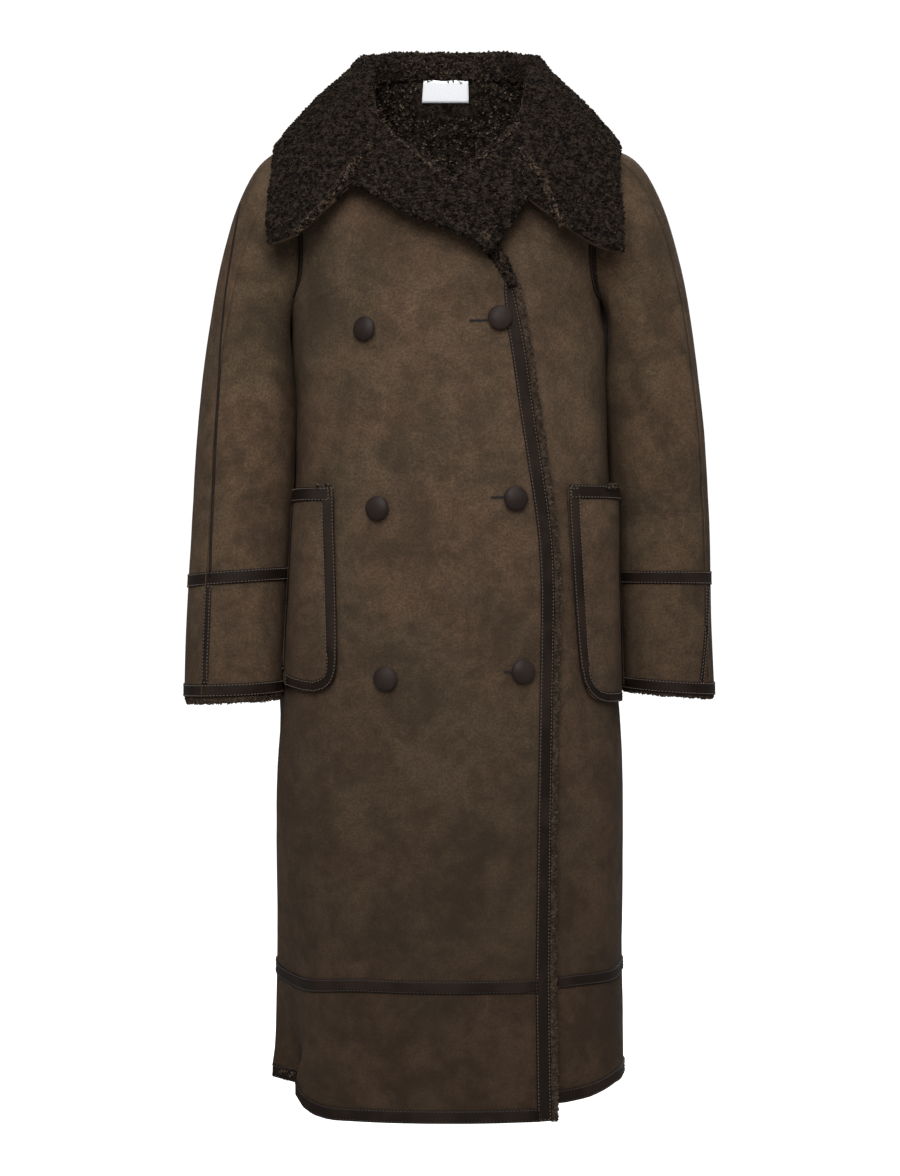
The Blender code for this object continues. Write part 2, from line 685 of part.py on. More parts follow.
def lapel_rows(side, front):
    """Rows of a lapel below the gorge, which is the collar's last row."""
    rows = []
    last = front["points"].shape[1] - 1
    for line in LAPEL[side]:
        point, normal, across = edge_frame(front, row_at(line["roll"]), last)
        rolled = roll_points(point, normal, across, 0.0, LAPEL_ROLL_UP, LAPEL_ROLL_OUT)
        ways = []
        for share in (0.5, 1.0):
            x = point[0] + (line["x"] - point[0]) * share
            z = point[2] + (line["z"] - point[2]) * share
            theta = front_angle(x, z)
            place, out = body_surface(theta, z), body_normal(theta, z)
            lift = right_front_lift(place, 1.0) if side == "right" else 0.0
            ways.append(place + out * (COLLAR_WALL + LAPEL_ABOVE + LAPEL_RISE * share**1.5 + lift))
        rows.append(curve_through([*rolled, *ways], ACROSS_COLLAR))
    return rows


def build_collar(fronts, back):
    """Collar and lapels are one sheet of points, parted at the two gorge seams."""
    right, left = collar_rows("right", fronts, back), collar_rows("left", fronts, back)
    chain = right[::-1] + left[1:]
    dense = []
    for column in range(len(ACROSS_COLLAR)):
        line = [row[column] for row in chain]
        dense.append(curve_through(line, [k / 1.5 for k in range(int(1.5 * (len(line) - 1)) + 1)]))
    collar = np.array(dense).transpose(1, 0, 2)
    right_lapel = np.array(lapel_rows("right", fronts["right"]))[::-1]
    left_lapel = np.array(lapel_rows("left", fronts["left"]))
    sheet = np.concatenate([right_lapel, collar, left_lapel])
    normals = grid_normals(sheet)
    if np.dot(normals[len(sheet) // 2, -2], (0.0, 1.0, 0.0)) < 0:
        normals = -normals
    for _ in range(2):
        normals[1:-1] = normals[:-2] + 2 * normals[1:-1] + normals[2:]
        normals /= np.linalg.norm(normals, axis=2, keepdims=True)
    first, last = len(right_lapel), len(right_lapel) + len(collar) - 1
    spans = (("lapel_right", 0, first), ("collar", first, last), ("lapel_left", last, len(sheet) - 1))
    for name, start, end in spans:
        points = sheet[start:end + 1].copy()
        for edge, inner in ((0, 1), (-1, -2)):
            inward = points[inner] - points[edge]
            points[edge] += inward / np.linalg.norm(inward, axis=1, keepdims=True) * GORGE
        thick = COLLAR_WALL * np.array(TURN_THICKNESS)[None, :, None]
        wall(name, points, points - normals[start:end + 1] * thick, "pile")


SLEEVE_ROWS = (-0.330, -0.365, -0.400, -0.450, -0.500, -0.541, -0.5555, -0.600, -0.640, -0.6615, -0.6755)
OUTER_SEAM = {"right": 3, "left": 2}


def build_sleeve(side, out, loop):
    grid = sleeve_grid(side, out, loop, SLEEVE_ROWS)
    seam, inner = OUTER_SEAM[side], len(loop) // 2
    twice = {key: np.concatenate([grid[key][:, :-1], grid[key]], axis=1) for key in grid}
    front = parted(columns_of(twice, seam, inner))
    back = parted(columns_of(twice, inner, len(loop) + seam))
    panel_wall(f"sleeve_{side}_front", front)
    panel_wall(f"sleeve_{side}_back", back)
    return grid


# Trims

def column_at_x(panel, row, x):
    """The fractional column where a row of a front or the back crosses x."""
    columns = panel["points"].shape[1]
    places = np.linspace(0, columns - 1, 8 * columns)
    found = np.array([sample(panel, row, column)[0][0] for column in places])
    order = np.argsort(found)
    return float(np.interp(x, found[order], places[order]))


def column_width(panel, row, column):
    return float(np.linalg.norm(sample(panel, row, column)[0] - sample(panel, row, column + 1)[0]))


def build_bands(panels):
    last = panels["front_right"]["points"].shape[1] - 2
    for name, panel in panels.items():
        end = last - 0.04 if name == "front_right" else panel["points"].shape[1] - 1
        columns = [*range(int(end)), int(end), end] if name == "front_right" else range(end + 1)
        low = BODY_ROWS.index(-0.9855)
        strip(f"skirt_band_{name}", panel, (low, low + 1), columns)
        strip(f"hem_band_{name}", panel, (0, 1), columns)


def build_front_edge(panel):
    last = panel["points"].shape[1] - 1
    top = row_at(-0.206)
    rows = [*range(int(top) + 1), top]
    strip("front_edge_strip", panel, rows, (last - 1, last))
    outer, inner = [], []
    for row in [*range(int(row_at(-0.235)) + 1), row_at(-0.235)]:
        point, normal, across = edge_frame(panel, row, last)
        outer.append([point + across * a + normal * n for a, n in
                      ((0.0004, -0.0006), (0.0050, -0.0002), (EDGE_PILE_WIDTH, -0.0022))])
        inner.append([point + across * a + normal * n for a, n in
                      ((0.0004, -0.0044), (0.0050, -0.0050), (EDGE_PILE_WIDTH, -0.0034))])
    wall("front_edge_pile", np.array(outer), np.array(inner), "pile")


def pocket_grid(side, panel):
    """A patch pocket's outer face, from its mouth down and from its front edge to its outer edge."""
    shape = POCKETS[side]
    out = -1 if side == "right" else 1
    height = shape["top"] - shape["low"]
    downs = [0.0, POCKET_BAND, 0.32 * height, 0.52 * height, 0.72 * height]
    downs += [height - POCKET_CORNER, height - 0.45 * POCKET_CORNER, height - 0.12 * POCKET_CORNER, height]
    points, normals = [], []
    for down in downs:
        row = row_at(shape["top"] - down)
        share = down / height
        front_x = shape["top_x"] + (shape["low_x"] - shape["top_x"]) * smooth(share)
        front_column = column_at_x(panel, row, out * front_x)
        step = column_width(panel, row, 2)
        width = front_column * step - shape["side_gap"]
        drop = max(POCKET_CORNER - (height - down), 0.0)
        inset = POCKET_CORNER - math.sqrt(POCKET_CORNER**2 - drop**2)
        strip_share = POCKET_SIDE_STRIP / width
        shares = [0.0, strip_share, 0.30, 0.50, 0.70, 1 - strip_share, 1.0]
        line, line_normals = [], []
        for part in shares:
            across = inset + part * (width - 2 * inset)
            point, normal = sample(panel, row, front_column - across / step)
            swell = math.sin(math.pi * part ** shape["peak"]) ** 0.7 if 0 < part < 1 else 0.0
            swell *= shape["bulge"] * (1 - share**3)
            line.append(point + normal * (POCKET_CLEAR + POCKET_WALL + swell))
            line_normals.append(normal)
        points.append(line)
        normals.append(line_normals)
    return dict(points=np.array(points), normals=np.array(normals))


def build_pocket(side, panel):
    pocket = pocket_grid(side, panel)
    rows, columns = (n - 1 for n in pocket["points"].shape[:2])
    panel_wall(f"pocket_{side}", pocket, thick=POCKET_WALL)
    low = rows - 3
    strip(f"pocket_{side}_band", pocket, (0, 1), range(columns + 1))
    sides = {"front": (0, 1), "outer": (columns - 1, columns)}
    for name, pair in sides.items():
        strip(f"pocket_{side}_{name}_strip", pocket, [1.03, *range(2, low), low - 0.03], pair)
    strip(f"pocket_{side}_low_strip", pocket, range(low, rows + 1), range(columns + 1))


def build_sleeve_trims(side, grid):
    count = grid["points"].shape[1] - 1
    first = len(HEAD_STEPS)
    for name, pair in (("band", (-0.541, -0.5555)), ("cuff_band", (-0.6615, -0.6755))):
        rows = [first + SLEEVE_ROWS.index(z) for z in pair]
        ring = dict(points=grid["points"][rows, :count], normals=grid["normals"][rows, :count])
        outer = ring["points"] + ring["normals"] * (REST + TRIM)
        wall(f"sleeve_{side}_{name}", outer, ring["points"] + ring["normals"] * REST, "leather", closed=True)
    seam = OUTER_SEAM[side]
    start, end = first + SLEEVE_ROWS.index(-0.5555) + 0.05, first + SLEEVE_ROWS.index(-0.6615) - 0.05
    middle = range(int(start) + 1, int(end) + 1)
    share = SLEEVE_STRIP_WIDTH / column_width(grid, start, seam - 1)
    strip(f"sleeve_{side}_seam_strip", grid, [start, *middle, end], (seam - share, seam - 0.02))
    last_points, last_normals = grid["points"][-1, :count], grid["normals"][-1, :count]
    drops = ((0.0004, 0.0010), (0.0040, 0.0008), (0.0080, 0.0022))
    down = np.array([0.0, 0.0, -1.0])
    outer = np.array([last_points + down * fall - last_normals * back for fall, back in drops])
    inner = np.array([last_points + down * fall - last_normals * (0.0056 - back) for fall, back in drops])
    wall(f"sleeve_{side}_cuff_pile", outer, inner, "pile", closed=True)


def build_armhole_strip(side, panel):
    low, high = BODY_ROWS.index(-0.243), BODY_ROWS.index(-0.110)
    share = ARMHOLE_STRIP_WIDTH / column_width(panel, low + 2, 0)
    strip(f"armhole_strip_{side}", panel, range(low, high + 1), (0.2 * share, 1.2 * share))


def build_button(name, x, z, panel):
    row = row_at(z)
    column = column_at_x(panel, row, x)
    point, normal = sample(panel, row, column)
    around = [sample(panel, row + a, column + b)[0] for a in (-0.12, 0, 0.12) for b in (-0.35, 0, 0.35)]
    base = max(float(np.dot(p - point, normal)) for p in around) + REST
    mesh = bpy.data.meshes.new(name)
    vertices = [(radius, 0.0, height) for radius, height in BUTTON_PROFILE]
    mesh.from_pydata(vertices, [(i, i + 1) for i in range(len(vertices) - 1)], [])
    mesh.materials.append(material_for(name, "leather"))
    button = bpy.data.objects.new(name, mesh)
    coat.objects.link(button)
    screw = button.modifiers.new("turned", "SCREW")
    screw.steps = screw.render_steps = BUTTON_STEPS
    screw.use_merge_vertices = True
    screw.merge_threshold = 0.0001
    button.location = Vector(point + normal * base)
    button.rotation_euler = Vector(normal).to_track_quat("Z", "Y").to_euler()
    return button


def build_label(back):
    top = len(BODY_ROWS) - 1
    width, height = LABEL_SIZE
    tall = float(np.linalg.norm(sample(back, top, 8)[0] - sample(back, top - 1, 8)[0]))
    rows = [top - 0.04 - share * height / tall for share in (1.0, 0.5, 0.0)]
    ends = [column_at_x(back, top, LABEL_X + reach * width) for reach in (-0.5, 0.5)]
    columns = np.linspace(ends[0], ends[1], 4)
    strip("neck_label", back, rows, columns, "label", thick=0.0008, above=-WALL - 0.0014)


# The coat

for leftover in list(bpy.data.objects):
    bpy.data.objects.remove(leftover, do_unlink=True)
coat = bpy.data.collections.new("faux_shearling_coat")
bpy.context.scene.collection.children.link(coat)

right_front, left_front, back = build_body()
fronts = {"right": right_front, "left": left_front}
build_collar(fronts, back)
right_sleeve = build_sleeve("right", -1, armhole_loop(right_front, back, True))
left_sleeve = build_sleeve("left", 1, armhole_loop(left_front, back, False))
build_bands({"front_right": right_front, "front_left": left_front, "back": back})
build_front_edge(right_front)
build_sleeve_trims("right", right_sleeve)
build_sleeve_trims("left", left_sleeve)
for side, front in fronts.items():
    build_pocket(side, front)
    build_armhole_strip(side, front)
for name, (x, z) in BUTTONS.items():
    build_button(f"button_{name}", x, z, right_front)
build_label(back)
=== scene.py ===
"""The faux shearling coat as it looks: mottled suede, curly pile, leather strips, stitches and buttons.

Everything is in metres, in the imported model's frame: the front faces -Y, +X is the wearer's left.
"""

import math

import bmesh
import bpy
import numpy as np
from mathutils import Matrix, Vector, noise
from mathutils.bvhtree import BVHTree


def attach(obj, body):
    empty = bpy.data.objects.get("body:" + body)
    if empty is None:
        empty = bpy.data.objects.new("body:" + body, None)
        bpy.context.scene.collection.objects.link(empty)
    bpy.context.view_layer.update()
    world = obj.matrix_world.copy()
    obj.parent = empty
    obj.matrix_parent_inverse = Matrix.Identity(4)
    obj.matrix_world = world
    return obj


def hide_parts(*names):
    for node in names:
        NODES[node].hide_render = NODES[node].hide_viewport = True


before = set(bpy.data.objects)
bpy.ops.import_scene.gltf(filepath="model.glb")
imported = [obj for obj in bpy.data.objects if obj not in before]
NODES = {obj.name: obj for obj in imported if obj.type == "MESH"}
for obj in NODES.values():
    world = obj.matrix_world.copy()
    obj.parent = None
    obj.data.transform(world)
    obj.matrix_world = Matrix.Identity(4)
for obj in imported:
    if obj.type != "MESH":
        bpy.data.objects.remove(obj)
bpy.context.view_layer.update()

# The photograph's height and middle, in its own pixels, and its camera, level with the middle of the coat
PICTURE_HIGH = 1176
MIDDLE_ACROSS = 450
MIDDLE_DOWN = 588
CAMERA_PLACE = (0.0, -2.35, -0.56)
CAMERA_LENS = 64.2
SENSOR = 36.0
FLOOR_Z = -1.50

# The camera's focal length, in the photograph's pixels
FOCUS = PICTURE_HIGH * CAMERA_LENS / SENSOR

# Topstitching: from stitch to stitch, a stitch's own size, and how far it lies inside the edge and off it
STITCH_PITCH = 0.0038
STITCH_LENGTH = 0.0019
STITCH_WIDTH = 0.00042
STITCH_INSET = 0.0016
STITCH_LIFT = 0.00015

# Curls of pile: how many grow on each square metre, and how long one is
COLLAR_GROWTH = dict(each=105000.0, size=0.0026)
FRINGE_GROWTH = dict(each=330000.0, size=0.0020)
LINING_GROWTH = dict(each=75000.0, size=0.0028)
RIDGE_GROWTH = dict(each=260000.0, size=0.0030)

# Clumps of the pile under the curls: how wide and how high
COLLAR_CLUMPS = dict(size=0.0090, height=0.0012)
FRINGE_CLUMPS = dict(size=0.0050, height=0.0006)

# Makes all the creases deeper or shallower at once
CREASE_DEPTH = 1.7

# How deep into the coat a crease reaches, and how much of its half width it wavers
CREASE_REACH = 0.06
CREASE_WAVER = 0.15

# Soft troughs and ridges of the cloth, on the body and on the right and left sleeve: the middle, the half
# sizes along and across, how the long side leans (degrees from upright, seen from outside), and how far
# it stands out
CREASES = {
    "body": (
        dict(x=-0.120, y=-0.110, z=-0.350, half_long=0.110, half_wide=0.016, lean=12, out=-0.0022),
        dict(x=-0.085, y=-0.125, z=-0.880, half_long=0.150, half_wide=0.028, lean=-4, out=-0.0026),
        dict(x=0.020, y=-0.130, z=-0.800, half_long=0.180, half_wide=0.030, lean=3, out=0.0024),
        dict(x=0.125, y=-0.105, z=-0.360, half_long=0.100, half_wide=0.014, lean=-10, out=-0.0024),
        dict(x=0.140, y=-0.110, z=-0.860, half_long=0.150, half_wide=0.018, lean=4, out=-0.0024),
        dict(x=-0.030, y=-0.120, z=-0.400, half_long=0.090, half_wide=0.034, lean=70, out=0.0018),
        dict(x=0.010, y=-0.125, z=-0.225, half_long=0.060, half_wide=0.011, lean=62, out=0.0018),
        dict(x=0.030, y=-0.125, z=-0.262, half_long=0.055, half_wide=0.011, lean=66, out=-0.0016),
        dict(x=0.100, y=0.110, z=-0.330, half_long=0.120, half_wide=0.018, lean=-14, out=-0.0028),
        dict(x=-0.110, y=0.110, z=-0.360, half_long=0.110, half_wide=0.018, lean=12, out=-0.0026),
        dict(x=0.040, y=0.125, z=-0.820, half_long=0.180, half_wide=0.026, lean=3, out=-0.0028),
        dict(x=-0.060, y=0.125, z=-0.760, half_long=0.170, half_wide=0.026, lean=-4, out=0.0026),
    ),
    "right": (
        dict(x=-0.260, y=-0.060, z=-0.300, half_long=0.090, half_wide=0.014, lean=8, out=-0.0024),
        dict(x=-0.215, y=-0.085, z=-0.360, half_long=0.075, half_wide=0.012, lean=20, out=-0.0026),
        dict(x=-0.235, y=-0.100, z=-0.440, half_long=0.040, half_wide=0.010, lean=76, out=-0.0018),
        dict(x=-0.205, y=-0.090, z=-0.470, half_long=0.035, half_wide=0.009, lean=100, out=-0.0022),
        dict(x=-0.200, y=0.020, z=-0.400, half_long=0.050, half_wide=0.010, lean=80, out=-0.0024),
        dict(x=-0.250, y=0.050, z=-0.450, half_long=0.050, half_wide=0.012, lean=70, out=-0.0024),
    ),
    "left": (
        dict(x=0.250, y=-0.075, z=-0.300, half_long=0.090, half_wide=0.014, lean=-8, out=-0.0024),
        dict(x=0.205, y=-0.060, z=-0.350, half_long=0.070, half_wide=0.012, lean=-18, out=-0.0026),
        dict(x=0.245, y=-0.065, z=-0.450, half_long=0.045, half_wide=0.011, lean=-78, out=-0.0020),
        dict(x=0.210, y=-0.050, z=-0.480, half_long=0.035, half_wide=0.009, lean=-104, out=-0.0022),
        dict(x=0.215, y=0.070, z=-0.410, half_long=0.050, half_wide=0.010, lean=-80, out=-0.0024),
        dict(x=0.260, y=0.080, z=-0.470, half_long=0.050, half_wide=0.012, lean=-70, out=-0.0024),
    ),
}

# Slight waves that all the cloth has: how many to the metre, and how high
WAVES = dict(each=9.0, high=0.0011)
RIPPLES = dict(each=32.0, high=0.00035)


# Meshes

# Points of a CAD mesh nearer than this become one, triangles flatter and squarer than these angles
# become one face, and corners sharper than this stay sharp
MERGE_GAP = 2e-5
FLAT_FACE = 0.6
FLAT_SHAPE = 1.2
KEPT_CORNER = math.radians(48)


def smooth_copy(node, levels):
    """A finer copy of a CAD node: loose triangles joined, rounded between its kept corners."""
    mesh = NODES[node].data.copy()
    mesh.materials.clear()
    shape = bmesh.new()
    shape.from_mesh(mesh)
    bmesh.ops.remove_doubles(shape, verts=shape.verts, dist=MERGE_GAP)
    bmesh.ops.join_triangles(
        shape, faces=shape.faces, angle_face_threshold=FLAT_FACE, angle_shape_threshold=FLAT_SHAPE,
    )
    crease = shape.edges.layers.float.new("crease_edge")
    for edge in shape.edges:
        if len(edge.link_faces) == 2 and edge.calc_face_angle() > KEPT_CORNER:
            edge[crease] = 1.0
    shape.to_mesh(mesh)
    shape.free()
    rough = bpy.data.objects.new(node + "_rough", mesh)
    bpy.context.scene.collection.objects.link(rough)
    rounding = rough.modifiers.new("rounding", "SUBSURF")
    rounding.levels = rounding.render_levels = levels
    rounding.quality = 4
    return settled(rough, node + "_dressed")


def settled(rough, name):
    """The object with its modifiers applied, as a plain mesh under a new name."""
    bpy.context.view_layer.update()
    depsgraph = bpy.context.evaluated_depsgraph_get()
    mesh = bpy.data.meshes.new_from_object(rough.evaluated_get(depsgraph))
    bpy.data.objects.remove(rough)
    mesh.name = name
    return linked(mesh, name)


def linked(mesh, name):
    """A smooth-shaded piece in the scene."""
    piece = bpy.data.objects.new(name, mesh)
    bpy.context.scene.collection.objects.link(piece)
    for face in mesh.polygons:
        face.use_smooth = True
    return piece


def swept(rings, name):
    """A closed solid through rings of places, each ring with as many places as the first."""
    sides = len(rings[0])
    faces = []
    for number in range(len(rings) - 1):
        low, high = number * sides, (number + 1) * sides
        for turn in range(sides):
            after = (turn + 1) % sides
            faces.append((low + turn, low + after, high + after, high + turn))
    faces.append(tuple(range(sides))[::-1])
    faces.append(tuple(range((len(rings) - 1) * sides, len(rings) * sides)))
    mesh = bpy.data.meshes.new(name)
    mesh.from_pydata([tuple(place) for ring in rings for place in ring], [], faces)
    shape = bmesh.new()
    shape.from_mesh(mesh)
    bmesh.ops.recalc_face_normals(shape, faces=shape.faces)
    shape.to_mesh(mesh)
    shape.free()
    return linked(mesh, name)


def line_mesh(places, pairs, name):
    mesh = bpy.data.meshes.new(name)
    mesh.from_pydata([tuple(place) for place in places], pairs, [])
    return mesh


def rows_of(items, label):
    """A vector of each vertex or face, as the rows of an array."""
    rows = np.empty(len(items) * 3)
    items.foreach_get(label, rows)
    return rows.reshape(-1, 3)


def coordinates(mesh):
    return rows_of(mesh.vertices, "co")


def move_to(mesh, places):
    mesh.vertices.foreach_set("co", places.ravel())
    mesh.update()


def fixed(piece, slot, *nodes):
    """Rides a finished piece on the coat's one body, and hides the nodes it stands for; the slot is not used.
    """
    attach(piece, "root")
    if nodes:
        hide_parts(*nodes)


# The coat's own directions

# Where the sleeves run: height, then the middle's distance from the centre and its depth
SLEEVE_MIDDLES = {
    "right": (
        dict(z=-0.690, x=0.2362, y=-0.061),
        dict(z=-0.530, x=0.2310, y=-0.047),
        dict(z=-0.400, x=0.2250, y=-0.026),
        dict(z=-0.330, x=0.2200, y=-0.016),
        dict(z=-0.230, x=0.1950, y=-0.010),
        dict(z=-0.070, x=0.1300, y=-0.004),
    ),
    "left": (
        dict(z=-0.690, x=0.2460, y=0.015),
        dict(z=-0.530, x=0.2385, y=0.010),
        dict(z=-0.400, x=0.2310, y=0.007),
        dict(z=-0.330, x=0.2240, y=0.004),
        dict(z=-0.230, x=0.1950, y=0.000),
        dict(z=-0.070, x=0.1300, y=0.000),
    ),
}


def outward(places, part):
    """The way out of the coat at each place, away from the body's middle or the sleeve's.

    It leans upwards towards the shoulders, where the cloth faces up.
    """
    if part == "body":
        away = places * (1, 1.25, 0)
        away[:, 2] = 0.12 * np.clip((places[:, 2] + 0.12) / 0.12, 0, 1) ** 1.5
    else:
        table = SLEEVE_MIDDLES[part]
        heights = [row["z"] for row in table]
        side = -1 if part == "right" else 1
        middle_x = side * np.interp(places[:, 2], heights, [row["x"] for row in table])
        middle_y = np.interp(places[:, 2], heights, [row["y"] for row in table])
        away = np.stack([places[:, 0] - middle_x, places[:, 1] - middle_y, 0 * middle_x], axis=1)
        away[:, 2] = 0.06 * np.clip((places[:, 2] + 0.16) / 0.08, 0, 1)
    return away / np.maximum(np.linalg.norm(away, axis=1, keepdims=True), 1e-9)


def part_of(node):
    if node.startswith("sleeve_right"):
        return "right"
    if node.startswith("sleeve_left"):
        return "left"
    return "body"


def eased(value, low, high):
    """0 up to low, 1 from high on, and smooth between them."""
    share = np.clip((value - low) / (high - low), 0, 1)
    return share * share * (3 - 2 * share)


def within(value, start, full, fade, end):
    """0 up to start, 1 from full to fade, and 0 again from end on."""
    return eased(value, start, full) * (1 - eased(value, fade, end))


def rounded(share, radius):
    """How far a round corner stands back from a square one, along its share of the way."""
    return radius * (1 - np.sqrt(1 - share * share))


def read_off(table, values):
    """Values between the rows of a table, in proportion."""
    return np.interp(values, list(table), list(table.values()))


def seen_at(places):
    """The photograph's pixel of each place, across and down, and the metres that a pixel covers there."""
    pixel = (places[:, 1] - CAMERA_PLACE[1]) / FOCUS
    across = MIDDLE_ACROSS + places[:, 0] / pixel
    down = MIDDLE_DOWN - (places[:, 2] - CAMERA_PLACE[2]) / pixel
    return across, down, pixel


# How the cloth is settled

def crease_depth(places, part):
    """How far the creases and the cloth's slight waves move each place outwards."""
    total = np.zeros(len(places))
    for crease in CREASES[part]:
        middle = np.array([crease["x"], crease["y"], crease["z"]])
        out = outward(middle[None, :], part)[0] * (1, 1, 0)
        out /= np.linalg.norm(out)
        aside = np.array([-out[1], out[0], 0.0])
        lean = math.radians(crease["lean"])
        along = np.array([0, 0, math.cos(lean)]) + aside * math.sin(lean)
        across = np.cross(along, out)
        gap = places - middle
        u = gap @ along / crease["half_long"]
        v = (gap @ across + CREASE_WAVER * crease["half_wide"] * np.sin(3 * u)) / crease["half_wide"]
        depth = gap @ out / CREASE_REACH
        near = np.exp(-(depth**2)) * np.exp(-1.4 * u**4) * np.exp(-(v**2))
        total += CREASE_DEPTH * crease["out"] * near
    waves = np.array([noise.noise(Vector(p) * WAVES["each"]) for p in places])
    ripples = np.array([noise.noise(Vector(p) * RIPPLES["each"] + Vector((3, 1, 7))) for p in places])
    total += WAVES["high"] * waves + RIPPLES["high"] * ripples
    return total


# Where the body's sides fill out against the sleeves, in metres from the middle and below the neck: how
# far out, and how much more along part of that stretch
SIDE_FILLS = (
    dict(side=-1, beside=(0.125, 0.160), below=(0.222, 0.256, 0.660, 0.720), out=0.0058,
         more_below=(0.235, 0.262, 0.315, 0.350), more=0.0038),
    dict(side=1, beside=(0.125, 0.155), below=(0.250, 0.290, 0.450, 0.560), out=0.0042,
         more_below=(0.0, 0.100, 0.360, 0.420), more=0.0026),
)

# The right front's edge at its armhole, drawn out towards where the photograph shows it
ARMHOLE_EDGE = dict(beside=(0.100, 0.125), ahead=(0.010, 0.050), below=(0.120, 0.150, 0.232, 0.272),
                    out=0.0080, forward=0.0015)


def settle_sides(places):
    """Fills the body's sides out until the sleeves lie against them."""
    x, y, z = places.T.copy()
    for fill in SIDE_FILLS:
        share = eased(fill["side"] * x, *fill["beside"]) * within(-z, *fill["below"])
        far = fill["out"] + fill["more"] * within(-z, *fill["more_below"])
        places[:, 0] += fill["side"] * far * share
    edge = eased(-x, *ARMHOLE_EDGE["beside"]) * eased(-y, *ARMHOLE_EDGE["ahead"])
    edge *= within(-z, *ARMHOLE_EDGE["below"])
    places[:, 0] -= ARMHOLE_EDGE["out"] * edge
    places[:, 1] -= ARMHOLE_EDGE["forward"] * edge


# How high the hem is lifted where it turns round each side, by its depth from front to back
HEM_RISE_RIGHT = {
    -0.090: 0.025, -0.060: 0.021, -0.045: 0.0165, 0.0: 0.015, 0.036: 0.010, 0.075: 0.004, 0.110: 0.0,
}
HEM_RISE_LEFT = {
    -0.130: 0.0, -0.114: 0.002, -0.084: 0.012, -0.043: 0.014, 0.0: 0.010, 0.072: 0.003, 0.100: 0.0,
}

# The lift starts and is full at these depths below the neck, and shows further out than this
HEM_BELOW = (1.045, 1.100)
HEM_TURN_X = 0.12

# The right front's lower corner: from where it is rounded, how wide and how round, and in front of where
HEM_CORNER = dict(x=-0.118, width=0.046, radius=0.026, y=-0.090)


def settle_hem(places):
    """Lifts the hem where it turns round the sides, and rounds the right front's lower corner."""
    x, y, z = places.T
    near = eased(-z, *HEM_BELOW)
    turn = np.clip((HEM_CORNER["x"] - x) / HEM_CORNER["width"], 0, 1)
    corner = rounded(turn, HEM_CORNER["radius"])
    right = np.where(y < HEM_CORNER["y"], corner, read_off(HEM_RISE_RIGHT, y))
    left = read_off(HEM_RISE_LEFT, y)
    rise = np.where(x < -HEM_TURN_X, right, 0) + np.where(x > HEM_TURN_X, left, 0)
    places[:, 2] += near * rise


# The pockets' lower corners nearer the front edge: where each starts, which way it runs, how wide and how
# round it is, and the depths below the neck over which it starts to show
POCKET_CORNERS = {
    "pocket_left": dict(x=0.172, toward=-1, width=0.028, radius=0.020, below=(0.635, 0.680)),
    "pocket_right": dict(x=-0.150, toward=1, width=0.027, radius=0.012, below=(0.610, 0.660)),
}

# Trims drawn out to what they run under or along: along X (0) or up (2), how far, and where that starts
TRIM_MOVES = (
    dict(nodes=("skirt_band_front_right", "hem_band_front_right"), way=0, far=0.0040, side=1,
         beside=(0.070, 0.089), below=(0.0, 0.1)),
    dict(nodes=("skirt_band_front_right",), way=2, far=0.0048, side=1,
         beside=(-0.175, -0.095), below=(0.0, 0.1)),
    dict(nodes=("pocket_right", "pocket_right_outer_strip"), way=2, far=0.0065, side=-1,
         beside=(0.140, 0.182), below=(0.600, 0.665)),
)

# The seam down the back: how far each half is drawn in to the middle, and over what width
BACK_SEAM_CLOSED = 0.0005
BACK_SEAM_WIDTH = (0.001, 0.012)

# The front edge strip under the right lapel's tail: by the pixel down, its left edge in the photograph
# and how much of its own place it keeps, and the most pixels that it moves
EDGE_STRIP_LEFT = {256: 505.5, 272: 509.0, 300: 515.3, 340: 523.0}
EDGE_STRIP_KEPT = {256: 0.20, 272: 0.35, 300: 0.75, 325: 1.0}
EDGE_STRIP_MOST = 30


def settle_trim(places, node):
    """Draws a strip, a pocket or a half of the back out to the piece that it runs under or along."""
    x, _, z = places.T.copy()
    if node in POCKET_CORNERS:
        corner = POCKET_CORNERS[node]
        turn = np.clip(corner["toward"] * (x - corner["x"]) / corner["width"], 0, 1)
        places[:, 2] += rounded(turn, corner["radius"]) * eased(-z, *corner["below"])
    for move in TRIM_MOVES:
        if node in move["nodes"]:
            share = eased(move["side"] * x, *move["beside"]) * eased(-z, *move["below"])
            places[:, move["way"]] += move["far"] * share
    if node in ("back_left", "back_right"):
        side = 1 if node == "back_left" else -1
        places[:, 0] -= side * BACK_SEAM_CLOSED * (1 - eased(np.abs(x), *BACK_SEAM_WIDTH))
    if node == "front_edge_strip":
        across, down, pixel = seen_at(places)
        gap = np.clip(read_off(EDGE_STRIP_LEFT, down) - across, 0, EDGE_STRIP_MOST)
        places[:, 0] += gap * (1 - read_off(EDGE_STRIP_KEPT, down)) * pixel


def crumple(piece, part, node):
    places = coordinates(piece.data)
    settle_trim(places, node)
    if part == "body":
        settle_sides(places)
        settle_hem(places)
    move_to(piece.data, places + outward(places, part) * crease_depth(places, part)[:, None])


# A face turned further out than this is an outer one, and further in than this an inner one
FACING = 0.25


def outer_share(mesh, part):
    """Which faces look out of the coat, which look in, and which are the cloth's cut edges."""
    facing = np.sum(outward(face_centres(mesh), part) * face_normals(mesh), axis=1)
    return np.where(facing > FACING, 1, np.where(facing < -FACING, -1, 0))


def face_centres(mesh):
    return rows_of(mesh.polygons, "center")


def face_normals(mesh):
    return rows_of(mesh.polygons, "normal")


# Where a border turns more sharply than this it has a corner, whose stitches lie further in
SHARP_TURN = 2.2
CORNER_INSET = 1.35


